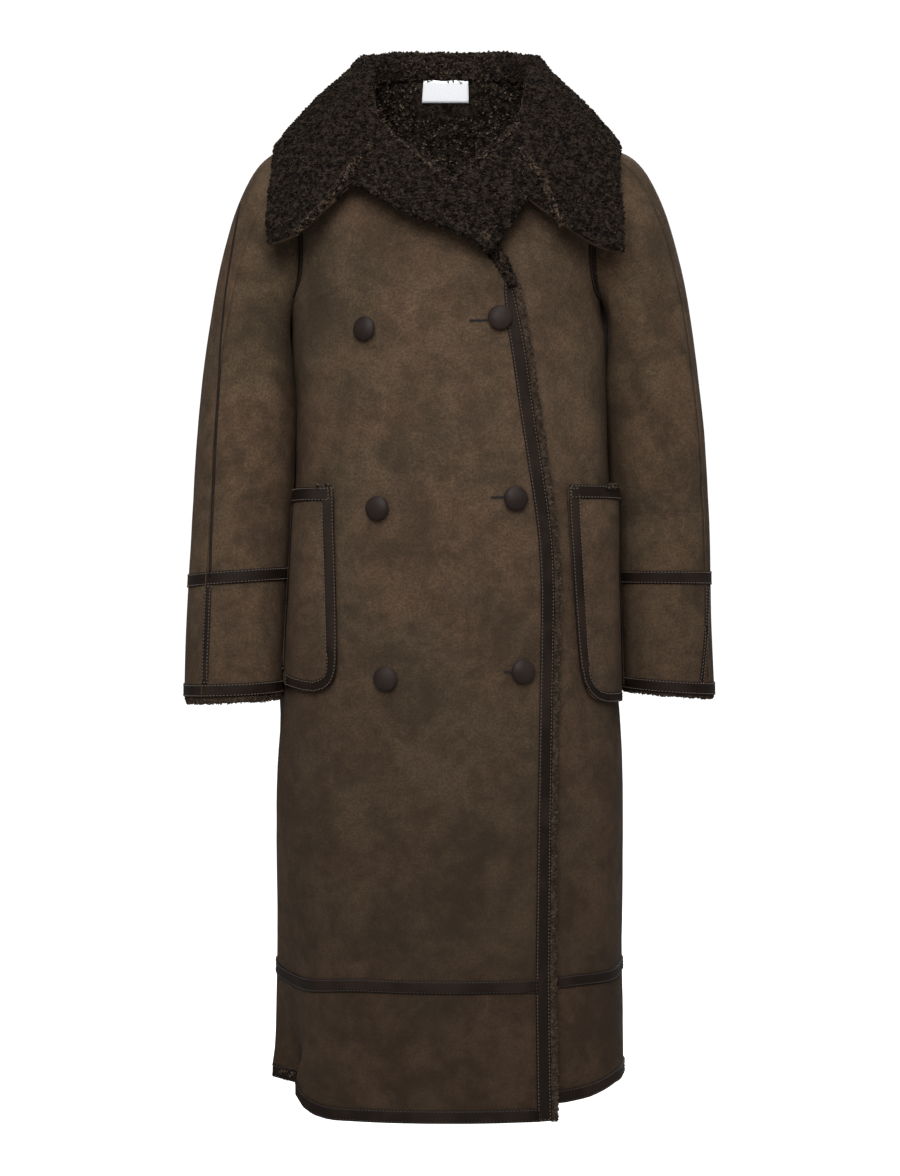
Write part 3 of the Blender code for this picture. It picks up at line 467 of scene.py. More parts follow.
def border_lines(piece, part):
    """The lines where the outer face of a piece meets its cut edges, moved onto the face."""
    sides = outer_share(piece.data, part)
    shape = bmesh.new()
    shape.from_mesh(piece.data)
    shape.faces.ensure_lookup_table()
    edges = [
        edge for edge in shape.edges
        if len(edge.link_faces) == 2 and sum(sides[face.index] > 0 for face in edge.link_faces) == 1
    ]
    rims = {}
    for edge in edges:
        for vertex in edge.verts:
            rims.setdefault(vertex, []).append(edge.other_vert(vertex))
    places, numbers = [], {}
    for vertex, others in rims.items():
        faces = [face for face in vertex.link_faces if sides[face.index] > 0]
        inward = sum((face.calc_center_median() - vertex.co for face in faces), Vector())
        normal = sum((face.normal for face in faces), Vector()).normalized()
        ends = (others[0].co, others[1].co if len(others) > 1 else vertex.co)
        tangent = (ends[0] - ends[1]).normalized()
        inward -= normal * inward.dot(normal)
        corner = len(others) > 1 and (ends[0] - vertex.co).angle(ends[1] - vertex.co, 0) < SHARP_TURN
        if not corner:
            inward -= tangent * inward.dot(tangent)
        numbers[vertex] = len(places)
        inset = STITCH_INSET * (CORNER_INSET if corner else 1.0)
        places.append(vertex.co + inward.normalized() * inset + normal * STITCH_LIFT)
    pairs = [(numbers[edge.verts[0]], numbers[edge.verts[1]]) for edge in edges]
    shape.free()
    return places, pairs


# Shader groups: named inputs, and masks, colours, values or normals out

def new_group(name, inputs, outputs):
    group = bpy.data.node_groups.new(name, "ShaderNodeTree")
    for label, kind, value in inputs:
        socket = group.interface.new_socket(name=label, in_out="INPUT", socket_type="NodeSocket" + kind)
        socket.default_value = value
    for label, kind in outputs:
        group.interface.new_socket(name=label, in_out="OUTPUT", socket_type="NodeSocket" + kind)
    return group, group.nodes.new("NodeGroupInput"), group.nodes.new("NodeGroupOutput")


def fed(tree, socket, value):
    """Links a socket to a value from another node, or sets it to a plain value or a colour."""
    if isinstance(value, bpy.types.NodeSocket):
        tree.links.new(value, socket)
    elif isinstance(value, tuple) and socket.type == "RGBA":
        socket.default_value = (*value, 1.0)
    else:
        socket.default_value = value


def math_node(tree, operation, first, second):
    node = tree.nodes.new("ShaderNodeMath")
    node.operation = operation
    fed(tree, node.inputs[0], first)
    fed(tree, node.inputs[1], second)
    return node.outputs[0]


def noise_node(tree, place, scale, detail=3.0, roughness=0.55, distortion=0.0):
    node = tree.nodes.new("ShaderNodeTexNoise")
    named = dict(Vector=place, Scale=scale, Detail=detail, Roughness=roughness, Distortion=distortion)
    for label, value in named.items():
        fed(tree, node.inputs[label], value)
    return node.outputs["Fac"]


def ranged(tree, value, low, high, to_low=0.0, to_high=1.0):
    node = tree.nodes.new("ShaderNodeMapRange")
    node.interpolation_type = "SMOOTHSTEP"
    tree.links.new(value, node.inputs["Value"])
    for label, number in (("From Min", low), ("From Max", high), ("To Min", to_low), ("To Max", to_high)):
        node.inputs[label].default_value = number
    return node.outputs["Result"]


def mixed(tree, share, first, second, blend="MIX"):
    node = tree.nodes.new("ShaderNodeMix")
    node.data_type = "RGBA"
    node.blend_type = blend
    for number, value in ((0, share), (6, first), (7, second)):
        fed(tree, node.inputs[number], value)
    return node.outputs[2]


def cloud_group():
    """Cloudy light and dark patches, as on brushed suede."""
    group, start, end = new_group(
        "clouds", [("Place", "Vector", (0, 0, 0)), ("Scale", "Float", 12.0)],
        [("Patches", "Float"), ("Specks", "Float"), ("Warmth", "Float")],
    )
    place, scale = start.outputs[:2]
    broad = noise_node(group, place, scale, 5.0, 0.62, 0.6)
    finer = noise_node(group, place, math_node(group, "MULTIPLY", scale, 4.5), 4.0, 0.6)
    broad_part = math_node(group, "MULTIPLY", broad, 0.62)
    finer_part = math_node(group, "MULTIPLY", finer, 0.38)
    patches = math_node(group, "ADD", broad_part, finer_part)
    group.links.new(ranged(group, patches, 0.36, 0.64), end.inputs["Patches"])
    specks = noise_node(group, place, 430.0, 4.0, 0.75)
    group.links.new(ranged(group, specks, 0.30, 0.70), end.inputs["Specks"])
    warmth = noise_node(group, place, math_node(group, "MULTIPLY", scale, 0.55), 4.0, 0.6, 0.8)
    group.links.new(ranged(group, warmth, 0.36, 0.64), end.inputs["Warmth"])
    return group


def grain_group():
    """The small pebbles of leather, with broader dents."""
    group, start, end = new_group(
        "leather grain", [("Place", "Vector", (0, 0, 0)), ("Scale", "Float", 900.0)],
        [("Height", "Float"), ("Wear", "Float")],
    )
    place, scale = start.outputs[:2]
    cells = group.nodes.new("ShaderNodeTexVoronoi")
    cells.feature = "SMOOTH_F1"
    group.links.new(place, cells.inputs["Vector"])
    group.links.new(scale, cells.inputs["Scale"])
    dents = noise_node(group, place, 140.0)
    height = math_node(group, "ADD", cells.outputs["Distance"], dents)
    group.links.new(height, end.inputs["Height"])
    group.links.new(ranged(group, noise_node(group, place, 26.0, 4.0), 0.42, 0.66), end.inputs["Wear"])
    return group


CLOUDS = cloud_group()
GRAIN = grain_group()


def material_with(name, colour, roughness, shine=0.22, sheen=0.0, sheen_colour=(1.0, 1.0, 1.0)):
    """A material with its node tree, its shader and the place on the object that its patterns read."""
    material = bpy.data.materials.new(name)
    material.use_nodes = True
    tree = material.node_tree
    shader = tree.nodes["Principled BSDF"]
    shader.inputs["Base Color"].default_value = (*colour, 1.0)
    shader.inputs["Roughness"].default_value = roughness
    shader.inputs["Specular IOR Level"].default_value = shine
    shader.inputs["Sheen Weight"].default_value = sheen
    shader.inputs["Sheen Roughness"].default_value = 0.6
    shader.inputs["Sheen Tint"].default_value = (*sheen_colour, 1.0)
    place = tree.nodes.new("ShaderNodeTexCoord").outputs["Object"]
    return material, tree, shader, place


def placed_group(tree, group, place, scale):
    node = tree.nodes.new("ShaderNodeGroup")
    node.node_tree = group
    tree.links.new(place, node.inputs["Place"])
    node.inputs["Scale"].default_value = scale
    return node


def bumped(tree, shader, height, strength, distance):
    bump = tree.nodes.new("ShaderNodeBump")
    bump.inputs["Strength"].default_value = strength
    bump.inputs["Distance"].default_value = distance
    tree.links.new(height, bump.inputs["Height"])
    tree.links.new(bump.outputs["Normal"], shader.inputs["Normal"])


# How many clouds, clumps, pebbles and twists there are to the metre, about
SUEDE_CLOUDS = 15.0
PILE_CLUMPS = 230.0
LEATHER_PEBBLES = 850.0
THREAD_TWISTS = 1500.0

# Heights between which the suede turns from its upper tones to its darker lower ones: painted shade, as the
# light falls off towards the hem
PAINTED_SHADE_START_Z = -0.25
PAINTED_SHADE_FULL_Z = -1.10

# The suede's tints, cooler and warmer, its dark specks, and how much those cover
COOLER = (0.95, 0.99, 0.93)
WARMER = (1.07, 1.01, 0.95)
SPECK_COLOUR = (0.020, 0.014, 0.010)
SPECK_SHARE = 0.55


def suede_material(name, light, dark, low_light_with_painted_shade, low_dark_with_painted_shade):
    """Brushed suede in clouds of light and dark, with darker tones towards the hem that are painted shade."""
    material, tree, shader, place = material_with(name, light, 0.92, 0.10, 0.04, (0.50, 0.36, 0.26))
    clouds = placed_group(tree, CLOUDS, place, SUEDE_CLOUDS)
    patches, specks, warmth = clouds.outputs
    height = tree.nodes.new("ShaderNodeSeparateXYZ")
    tree.links.new(place, height.inputs[0])
    # Darker towards the hem: painted shade of the light falling off downwards
    low = ranged(tree, height.outputs["Z"], PAINTED_SHADE_START_Z, PAINTED_SHADE_FULL_Z)
    light_tone = mixed(tree, low, light, low_light_with_painted_shade)
    dark_tone = mixed(tree, low, dark, low_dark_with_painted_shade)
    tone = mixed(tree, patches, dark_tone, light_tone)
    tinted = mixed(tree, 1.0, tone, mixed(tree, warmth, COOLER, WARMER), "MULTIPLY")
    specked = mixed(tree, ranged(tree, specks, 0.0, 1.0, 0.0, SPECK_SHARE), tinted, SPECK_COLOUR)
    tree.links.new(specked, shader.inputs["Base Color"])
    tree.links.new(ranged(tree, patches, 0.0, 1.0, 0.96, 0.84), shader.inputs["Roughness"])
    bumped(tree, shader, specks, 0.55, 0.0010)
    return material


def leather_material(name, colour, worn, roughness):
    """Pebbled leather, worn a little lighter in broad patches."""
    material, tree, shader, place = material_with(name, colour, roughness, 0.12)
    grain = placed_group(tree, GRAIN, place, LEATHER_PEBBLES)
    tree.links.new(mixed(tree, grain.outputs["Wear"], colour, worn), shader.inputs["Base Color"])
    rough = ranged(tree, grain.outputs["Wear"], 0.0, 1.0, roughness, roughness + 0.12)
    tree.links.new(rough, shader.inputs["Roughness"])
    bumped(tree, shader, grain.outputs["Height"], 0.30, 0.0004)
    return material


def clump_group():
    """Soft clumps of pile with finer specks, and painted shade: light on top of the clumps and dark between
    them.
    """
    group, start, end = new_group(
        "pile clumps", [("Place", "Vector", (0, 0, 0)), ("Scale", "Float", 230.0)],
        [("Clumps", "Float"), ("Height", "Float")],
    )
    place, scale = start.outputs[:2]
    clumps = noise_node(group, place, scale, 2.0, 0.6, 0.8)
    broad = noise_node(group, place, 150.0, 2.0, 0.5, 0.5)
    blend = math_node(group, "ADD", clumps, math_node(group, "MULTIPLY", broad, 0.55))
    # The Clumps output is painted shade, dark in the hollows between the clumps and light on their tops
    group.links.new(ranged(group, blend, 0.65, 0.95), end.inputs["Clumps"])
    group.links.new(clumps, end.inputs["Height"])
    return group


CLUMPS = clump_group()


def pile_material(name, root, tip, attribute=None, relief=0.003):
    """Curly pile with painted shade: dark between the clumps and lighter on top of them."""
    # root is the colour of the painted shade between the clumps, tip the colour on top of them
    material, tree, shader, place = material_with(name, root, 1.0, 0.06, 0.03, (0.5, 0.40, 0.32))
    clumps = placed_group(tree, CLUMPS, place, PILE_CLUMPS)
    shade = clumps.outputs["Clumps"]
    if attribute:
        reader = tree.nodes.new("ShaderNodeAttribute")
        reader.attribute_name = attribute
        shade = math_node(tree, "MULTIPLY", shade, ranged(tree, reader.outputs["Fac"], 0.0, 1.0, 0.35, 1.0))
    tree.links.new(mixed(tree, shade, root, tip), shader.inputs["Base Color"])
    bumped(tree, shader, clumps.outputs["Height"], 0.9, relief)
    return material


def plain_thread(name, colour):
    """Twisted thread, or a plain weave."""
    material, tree, shader, place = material_with(name, colour, 0.7, sheen=0.1)
    twist = noise_node(tree, place, THREAD_TWISTS, 1.0)
    shaded = tuple(0.75 * part for part in colour)
    tree.links.new(mixed(tree, twist, colour, shaded), shader.inputs["Base Color"])
    return material


# The lower tones are the upper ones darkened: painted shade towards the hem
SUEDE = suede_material(
    "mottled suede", light=(0.107, 0.070, 0.046), dark=(0.062, 0.041, 0.027),
    low_light_with_painted_shade=(0.052, 0.032, 0.020), low_dark_with_painted_shade=(0.027, 0.017, 0.011),
)
SLEEVE_SUEDE = suede_material(
    "mottled sleeve suede", light=(0.100, 0.065, 0.041), dark=(0.052, 0.034, 0.022),
    low_light_with_painted_shade=(0.068, 0.043, 0.026), low_dark_with_painted_shade=(0.034, 0.021, 0.014),
)
LEATHER = leather_material("dark leather strip", (0.0082, 0.0046, 0.0029), (0.0165, 0.0096, 0.0064), 0.66)
BUTTON_LEATHER = leather_material(
    "button leather", (0.0155, 0.0098, 0.0080), (0.0215, 0.0140, 0.0116), 0.46,
)
# Each pile's first colour is its painted shade between the clumps, its second the colour on top of them
COLLAR_PILE = pile_material("collar pile ground", (0.0030, 0.0021, 0.0015), (0.022, 0.0155, 0.0115))
CURLS = pile_material("collar pile curls", (0.0030, 0.0022, 0.0016), (0.062, 0.045, 0.033), "tone")
# The fall's curls are the lapels' curls darkened: painted shade
PAINTED_SHADE_FALL_CURLS = pile_material("collar fall curls", (0.0026, 0.0019, 0.0014), (0.047, 0.034, 0.025), "tone")
STAND_CURLS = pile_material("collar stand curls", (0.0022, 0.0016, 0.0012), (0.105, 0.077, 0.057), "tone")
LINING = pile_material("lining pile ground", (0.0035, 0.0025, 0.0018), (0.026, 0.019, 0.014))
LINING_CURLS = pile_material("lining pile curls", (0.0045, 0.0034, 0.0024), (0.160, 0.121, 0.090), "tone")
FRINGE_CURLS = pile_material(
    "edge fringe curls", (0.030, 0.021, 0.015), (0.098, 0.070, 0.050), "tone", 0.0008,
)
RIDGE_CURLS = pile_material("pile ridge curls", (0.012, 0.0084, 0.0060), (0.125, 0.088, 0.061), "tone")
THREAD = plain_thread("topstitching thread", (0.110, 0.080, 0.060))
DARK_THREAD = plain_thread("dark topstitching thread", (0.030, 0.021, 0.016))
# Near-black: the buttonholes' thread, and the painted shade of their slits
BUTTONHOLE_THREAD_AND_SLIT_SHADE = plain_thread("buttonhole thread", (0.006, 0.004, 0.0035))
LABEL_WEAVE = plain_thread("white woven label", (0.90, 0.91, 0.94))


# Geometry Nodes: curls over a pile, stitches along a line

def node_tree(name, inputs):
    tree = bpy.data.node_groups.new(name, "GeometryNodeTree")
    tree.interface.new_socket(name="Geometry", in_out="INPUT", socket_type="NodeSocketGeometry")
    for label, kind in inputs:
        tree.interface.new_socket(name=label, in_out="INPUT", socket_type="NodeSocket" + kind)
    tree.interface.new_socket(name="Geometry", in_out="OUTPUT", socket_type="NodeSocketGeometry")
    return tree, tree.nodes.new("NodeGroupInput"), tree.nodes.new("NodeGroupOutput")


def joined(tree, kind, **links):
    """A node with these inputs; an input's name has _ for each space."""
    node = tree.nodes.new(kind)
    for label, value in links.items():
        fed(tree, node.inputs[label.replace("_", " ")], value)
    return node


def chance(tree, low, high, seed):
    """A number between low and high, by chance for each point or curl."""
    node = joined(tree, "FunctionNodeRandomValue", Seed=seed)
    node.data_type = "FLOAT"
    node.inputs[2].default_value = low
    node.inputs[3].default_value = high
    return node.outputs[1]


def made_real(tree, geometry, finish, end):
    """The tree's end: instances made real, in their material."""
    real = joined(tree, "GeometryNodeRealizeInstances", Geometry=geometry)
    finished = joined(tree, "GeometryNodeSetMaterial", Geometry=real.outputs[0], Material=finish)
    tree.links.new(finished.outputs[0], end.inputs[0])
    return tree


# How thick a curl is at its root, its tip and its fullest place, and how far it tilts to any side
CURL_ROOT = 0.25
CURL_TIP = 0.12
CURL_FULLEST = (0.45, 1.0)
CURL_TILT = 0.7
FULL_TURN = 6.283


def curl_tree():
    """Short bent curls, thick in the middle, scattered over the faces marked as pile."""
    tree, start, end = node_tree(
        "pile curls",
        [("Curls each square metre", "Float"), ("Curl size", "Float"), ("Seed", "Int"),
         ("Finish", "Material")],
    )
    wanted = start.outputs
    seed = wanted["Seed"]
    marked = joined(tree, "GeometryNodeInputNamedAttribute", Name="pile")
    marked.data_type = "FLOAT"
    amount = math_node(tree, "MULTIPLY", wanted["Curls each square metre"], marked.outputs["Attribute"])
    points = joined(
        tree, "GeometryNodeDistributePointsOnFaces", Mesh=wanted["Geometry"], Density=amount, Seed=seed,
    )
    arc = joined(tree, "GeometryNodeCurveArc", Resolution=4, Radius=0.5, Start_Angle=0.2, Sweep_Angle=4.0)
    along = tree.nodes.new("GeometryNodeSplineParameter")
    thickness = joined(tree, "ShaderNodeFloatCurve", Value=along.outputs["Factor"])
    curve = thickness.mapping.curves[0]
    curve.points[0].location = (0.0, CURL_ROOT)
    curve.points[1].location = (1.0, CURL_TIP)
    curve.points.new(*CURL_FULLEST)
    tapered = joined(
        tree, "GeometryNodeSetCurveRadius", Curve=arc.outputs[0], Radius=thickness.outputs[0],
    )
    round_thread = joined(tree, "GeometryNodeCurvePrimitiveCircle", Resolution=3, Radius=0.34)
    curl = joined(
        tree, "GeometryNodeCurveToMesh", Curve=tapered.outputs[0], Profile_Curve=round_thread.outputs[0],
        Scale=thickness.outputs[0],
    )
    upright = joined(
        tree, "GeometryNodeTransform", Geometry=curl.outputs[0], Rotation=(math.radians(60), 0, 0),
    )
    spin = joined(tree, "FunctionNodeRandomValue", Seed=seed)
    spin.data_type = "FLOAT_VECTOR"
    spin.inputs[0].default_value = (-CURL_TILT, -CURL_TILT, 0.0)
    spin.inputs[1].default_value = (CURL_TILT, CURL_TILT, FULL_TURN)
    turn = joined(tree, "FunctionNodeRotateRotation", Rotation=points.outputs["Rotation"])
    turn.rotation_space = "LOCAL"
    tree.links.new(spin.outputs[0], turn.inputs[1])
    size = math_node(tree, "MULTIPLY", chance(tree, 0.65, 1.35, seed), wanted["Curl size"])
    placed = joined(
        tree, "GeometryNodeInstanceOnPoints", Points=points.outputs["Points"], Instance=upright.outputs[0],
        Rotation=turn.outputs[0], Scale=size,
    )
    toned = joined(tree, "GeometryNodeStoreNamedAttribute", Geometry=placed.outputs[0], Name="tone")
    toned.data_type = "FLOAT"
    toned.domain = "INSTANCE"
    tree.links.new(chance(tree, 0.05, 1.0, 7), toned.inputs["Value"])
    return made_real(tree, toned.outputs[0], wanted["Finish"], end)


def stitch_tree():
    """A short thread over the cloth at each point of the line, turned along it."""
    tree, start, end = node_tree(
        "stitches along a line",
        [("Pitch", "Float"), ("Stitch length", "Float"), ("Stitch width", "Float"), ("Finish", "Material")],
    )
    wanted = start.outputs
    width = wanted["Stitch width"]
    line = joined(tree, "GeometryNodeMeshToCurve", Mesh=wanted["Geometry"])
    spaced = joined(tree, "GeometryNodeResampleCurve", Curve=line.outputs[0])
    spaced.mode = "LENGTH"
    tree.links.new(wanted["Pitch"], spaced.inputs["Length"])
    tangent = tree.nodes.new("GeometryNodeInputTangent")
    turn = joined(tree, "FunctionNodeAlignRotationToVector", Vector=tangent.outputs[0])
    turn.axis = "Z"
    stitch = joined(tree, "GeometryNodeMeshCylinder", Vertices=5, Radius=1.0, Depth=1.0)
    size = joined(tree, "ShaderNodeCombineXYZ", X=width, Y=width, Z=wanted["Stitch length"])
    placed = joined(
        tree, "GeometryNodeInstanceOnPoints", Points=spaced.outputs[0], Instance=stitch.outputs[0],
        Rotation=turn.outputs[0], Scale=size.outputs[0],
    )
    return made_real(tree, placed.outputs[0], wanted["Finish"], end)


CURL_TREE = curl_tree()
STITCH_TREE = stitch_tree()


def grown(mesh, tree, values, name):
    """What a node tree makes of a copy of the mesh, as a plain mesh object."""
    rough = bpy.data.objects.new(name + "_rough", mesh.copy())
    bpy.context.scene.collection.objects.link(rough)
    modifier = rough.modifiers.new(name, "NODES")
    modifier.node_group = tree
    for item in tree.interface.items_tree:
        if item.in_out == "INPUT" and item.name in values:
            modifier[item.identifier] = values[item.name]
    return settled(rough, name)


# Cloth pieces

dressed = {}


def cloth_piece(node, face):
    """A panel of suede with pile on its inner side."""
    part = part_of(node)
    piece = smooth_copy(node, 2)
    sides = outer_share(piece.data, part)
    piece.data.materials.append(face)
    piece.data.materials.append(LINING)
    piece.data.polygons.foreach_set("material_index", np.where(sides < 0, 1, 0).astype(np.int32))
    crumple(piece, part, node)
    dressed[node] = piece
    fixed(piece, "suede", node)


for node in ("front_right", "front_left", "back_left", "back_right", "pocket_right", "pocket_left"):
    cloth_piece(node, SUEDE)
for node in ("sleeve_right_front", "sleeve_right_back", "sleeve_left_front", "sleeve_left_back"):
    cloth_piece(node, SLEEVE_SUEDE)


# Leather strips, buttons and label

# Strips that one long ribbon stands for
RIBBON_NODES = (
    "sleeve_right_seam_strip", "sleeve_left_seam_strip", "pocket_right_front_strip", "pocket_right_low_strip",
    "pocket_left_front_strip", "pocket_left_low_strip",
)

# Strips stitched with the darker thread
DARK_STRIPS = ("skirt_band", "hem_band", "armhole_strip")

STRIPS = [node for node in NODES if node.endswith(("strip", "band")) or node.startswith(DARK_STRIPS)]

# How far the strips are pressed into the cloth
PRESSED_IN = 0.0006


def leather_piece(node, finish=LEATHER):
    """A strip or a button; the strips are pressed in a little."""
    part = part_of(node)
    piece = smooth_copy(node, 2)
    piece.data.materials.append(finish)
    crumple(piece, part, node)
    if finish is LEATHER:
        places = coordinates(piece.data)
        move_to(piece.data, places - outward(places, part) * PRESSED_IN)
    dressed[node] = piece
    fixed(piece, "leather", node)


def stitched(line, thread, name, pitch=STITCH_PITCH, length=STITCH_LENGTH, width=STITCH_WIDTH):
    """Stitches along the edges of a line mesh."""
    sizes = {"Pitch": pitch, "Stitch length": length, "Stitch width": width, "Finish": thread}
    fixed(grown(line, STITCH_TREE, sizes, name), "leather")


def topstitched(node, thread):
    """A line of stitches along the outer edges of a dressed piece."""
    places, pairs = border_lines(dressed[node], part_of(node))
    stitched(line_mesh(places, pairs, node + "_line"), thread, node + "_stitches")


for node in STRIPS:
    if node not in RIBBON_NODES:
        leather_piece(node)
        topstitched(node, DARK_THREAD if node.startswith(DARK_STRIPS) else THREAD)

for node in NODES:
    if node.startswith("button"):
        leather_piece(node, BUTTON_LEATHER)

# The neck label's middle, where it ends, the half width that the pile leaves free for it, the share of its
# width that it keeps at the top and how much less below, how far it is lifted and how much more below,
# and its waves
LABEL = dict(
    x=-0.005, low=-0.018, half_width=0.034, wide=0.965, narrows=0.075, lift=0.0035, more_lift=0.0010,
    wave=0.0006, wave_turns=240,
)


def label_piece():
    """The bare woven label, a little narrower downwards, with a slight wave along its top."""
    piece = smooth_copy("neck_label", 2)
    places = coordinates(piece.data)
    top, low = places[:, 2].max(), places[:, 2].min()
    drop = (top - places[:, 2]) / (top - low)
    places[:, 0] = LABEL["x"] + (places[:, 0] - LABEL["x"]) * (LABEL["wide"] - LABEL["narrows"] * drop)
    places[:, 2] += LABEL["lift"] + LABEL["more_lift"] * drop
    places[:, 2] += LABEL["wave"] * np.sin(places[:, 0] * LABEL["wave_turns"]) * (1 - drop)
    move_to(piece.data, places)
    piece.data.materials.append(LABEL_WEAVE)
    fixed(piece, "label", "neck_label")


label_piece()


# Collar and lapels

def clumped(piece, size, height):
    """Raises the pile in uneven clumps."""
    mesh = piece.data
    places = coordinates(mesh)
    normals = rows_of(mesh.vertices, "normal")
    rise = np.array([
        noise.noise(Vector(p) / size) + 0.6 * noise.noise(Vector(p) * 2.3 / size) for p in places
    ])
    move_to(mesh, places + normals * (height * rise)[:, None])


def curls_over(piece, name, share, seed, finish, each, size):
    """Curls over the marked share of a dressed piece's faces."""
    marks = piece.data.attributes
    layer = marks.get("pile") or marks.new("pile", "FLOAT", "FACE")
    layer.data.foreach_set("value", np.asarray(share, dtype=np.float32))
    sizes = {"Curls each square metre": each, "Curl size": size, "Seed": seed, "Finish": finish}
    fixed(grown(piece.data, CURL_TREE, sizes, name), "pile")


def curls_all_over(piece, name, seed, finish, growth):
    curls_over(piece, name, np.ones(len(piece.data.polygons)), seed, finish, **growth)


def pile_piece(node, levels, ground=COLLAR_PILE):
    piece = smooth_copy(node, levels)
    piece.data.materials.append(ground)
    dressed[node] = piece
    fixed(piece, "pile", node)
    return piece


# How far the lower front edge of the fall and lapels stands off the chest, from where and over what height
STAND_OFF = dict(z=-0.075, height=0.085, out=0.0085)


def stood_off(places):
    """Stands the lower front edge of the fall and lapels off the chest."""
    low = np.clip((STAND_OFF["z"] - places[:, 2]) / STAND_OFF["height"], 0, 1)
    places[:, 1] -= STAND_OFF["out"] * low * low * (places[:, 1] < 0)


# The collar's fall: drawn in by a share of its width, beside the middle from x on; its corners lowered
# where it turns over the shoulders; and its two lower corners, left and right, hung lower
FALL_DRAWN_IN = dict(share=0.032, x=0.09, width=0.07, z=-0.095, height=0.060)
FALL_SHOULDER = dict(drop=0.0050, x=0.094, width=0.020, z=0.005, height=0.02)
FALL_LOW = (0.095, 0.165)
FALL_LOW_LEFT = dict(drop=0.0105, beside=(0.105, 0.175))
FALL_LOW_RIGHT = dict(drop=0.0065, beside=(0.125, 0.175))


def hump(value, middle, width):
    """1 at the middle, and less and less away from it."""
    return np.exp(-(((value - middle) / width) ** 2))


def collar_shape(piece):
    """Draws the sides of the fall in a little, and rounds the corners where it turns over the shoulders."""
    places = coordinates(piece.data)
    x, _, z = places.T
    drawn, shoulder = FALL_DRAWN_IN, FALL_SHOULDER
    side = np.clip((np.abs(x) - drawn["x"]) / drawn["width"], 0, 1)
    places[:, 0] *= 1 - drawn["share"] * side * hump(z, drawn["z"], drawn["height"])
    high = np.clip((z - shoulder["z"]) / shoulder["height"], 0, 1)
    places[:, 2] -= shoulder["drop"] * (hump(np.abs(x), shoulder["x"], shoulder["width"]) * high)
    stood_off(places)
    left = FALL_LOW_LEFT["drop"] * eased(x, *FALL_LOW_LEFT["beside"])
    right = FALL_LOW_RIGHT["drop"] * eased(-x, *FALL_LOW_RIGHT["beside"])
    low = eased(-z, *FALL_LOW) * (places[:, 1] < 0)
    places[:, 2] -= low * np.where(x > 0, left, right)
    move_to(piece.data, places)


# The edge of the left lapel, by its pixels: where it starts, how it slopes, how squarely the slope is
# crossed, and the width over which it is moved; and how far it runs on along X, Y and Z
LAPEL_EDGE = dict(across=468, down=172.5, slope=0.748, squarely=0.80, width=16.0)
LAPEL_MOVE = (-0.0150, 0.0010, -0.0080)


def tucked_lapel(places):
    """Runs the left lapel's edge on, under the right one that laps over it."""
    across, down, _ = seen_at(places)
    edge = LAPEL_EDGE["across"] + (down - LAPEL_EDGE["down"]) * LAPEL_EDGE["slope"]
    beyond = (across - edge) * LAPEL_EDGE["squarely"]
    move = 1 - eased(beyond, 0, LAPEL_EDGE["width"])
    places += move[:, None] * LAPEL_MOVE


# The collar's underside: how far from the middle it starts, and how far its faces look in or down
UNDERSIDE_OUT = 0.105
UNDERSIDE_IN = -0.05
UNDERSIDE_DOWN = -0.55

# The curls nearer the middle than this are the stand's, and the others the fall's
STAND_HALF_WIDTH = 0.055


def collar_piece():
    """The collar: suede beneath, and curls over the rest, in another tone on the stand than on the fall,
    where they are darker with painted shade.
    """
    piece = pile_piece("collar", 2)
    collar_shape(piece)
    clumped(piece, **COLLAR_CLUMPS)
    centres, normals = face_centres(piece.data), face_normals(piece.data)
    under = np.sum(outward(centres, "body") * normals, axis=1) < UNDERSIDE_IN
    under |= normals[:, 2] < UNDERSIDE_DOWN
    under &= np.hypot(centres[:, 0], centres[:, 1]) > UNDERSIDE_OUT
    piece.data.materials.append(SUEDE)
    piece.data.polygons.foreach_set("material_index", under.astype(np.int32))
    parts = (
        ("collar_right_curls", centres[:, 0] < -STAND_HALF_WIDTH, PAINTED_SHADE_FALL_CURLS),
        ("collar_middle_curls", abs(centres[:, 0]) <= STAND_HALF_WIDTH, STAND_CURLS),
        ("collar_left_curls", centres[:, 0] > STAND_HALF_WIDTH, PAINTED_SHADE_FALL_CURLS),
    )
    for seed, (name, share, finish) in enumerate(parts, 11):
        curls_over(piece, name, share & ~under, seed, finish, **COLLAR_GROWTH)


def lapel_piece(node, seed):
    lapel = pile_piece(node, 3)
    places = coordinates(lapel.data)
    if node == "lapel_left":
        tucked_lapel(places)
    stood_off(places)
    move_to(lapel.data, places)
    clumped(lapel, **COLLAR_CLUMPS)
    curls_all_over(lapel, node + "_curls", seed, CURLS, COLLAR_GROWTH)


# How far the pile below each cuff is lifted
CUFF_PILE_LIFT = {"sleeve_left_cuff_pile": 0.0045, "sleeve_right_cuff_pile": 0.0012}


def fringe_piece(node, seed):
    """The pile that shows beyond the front edge or below a cuff."""
    fringe = pile_piece(node, 2, FRINGE_CURLS)
    clumped(fringe, **FRINGE_CLUMPS)
    places = coordinates(fringe.data)
    places[:, 2] += CUFF_PILE_LIFT.get(node, 0)
    if node == "front_edge_pile":
        settle_hem(places)
    move_to(fringe.data, places)
    curls_all_over(fringe, node + "_curls", seed, FRINGE_CURLS, FRINGE_GROWTH)


# The open neck shows the lining above this height
LINING_SEEN_Z = -0.24


def lining_curls(node, seed):
    """The lining's pile where the open neck shows it, apart from the label."""
    panel = dressed[node]
    x, y, z = face_centres(panel.data).T
    label = (abs(x - LABEL["x"]) < LABEL["half_width"]) & (z > LABEL["low"]) & (y > 0)
    share = (outer_share(panel.data, "body") < 0) & (z > LINING_SEEN_Z) & ~label
    curls_over(panel, node + "_lining_curls", share, seed, LINING_CURLS, **LINING_GROWTH)


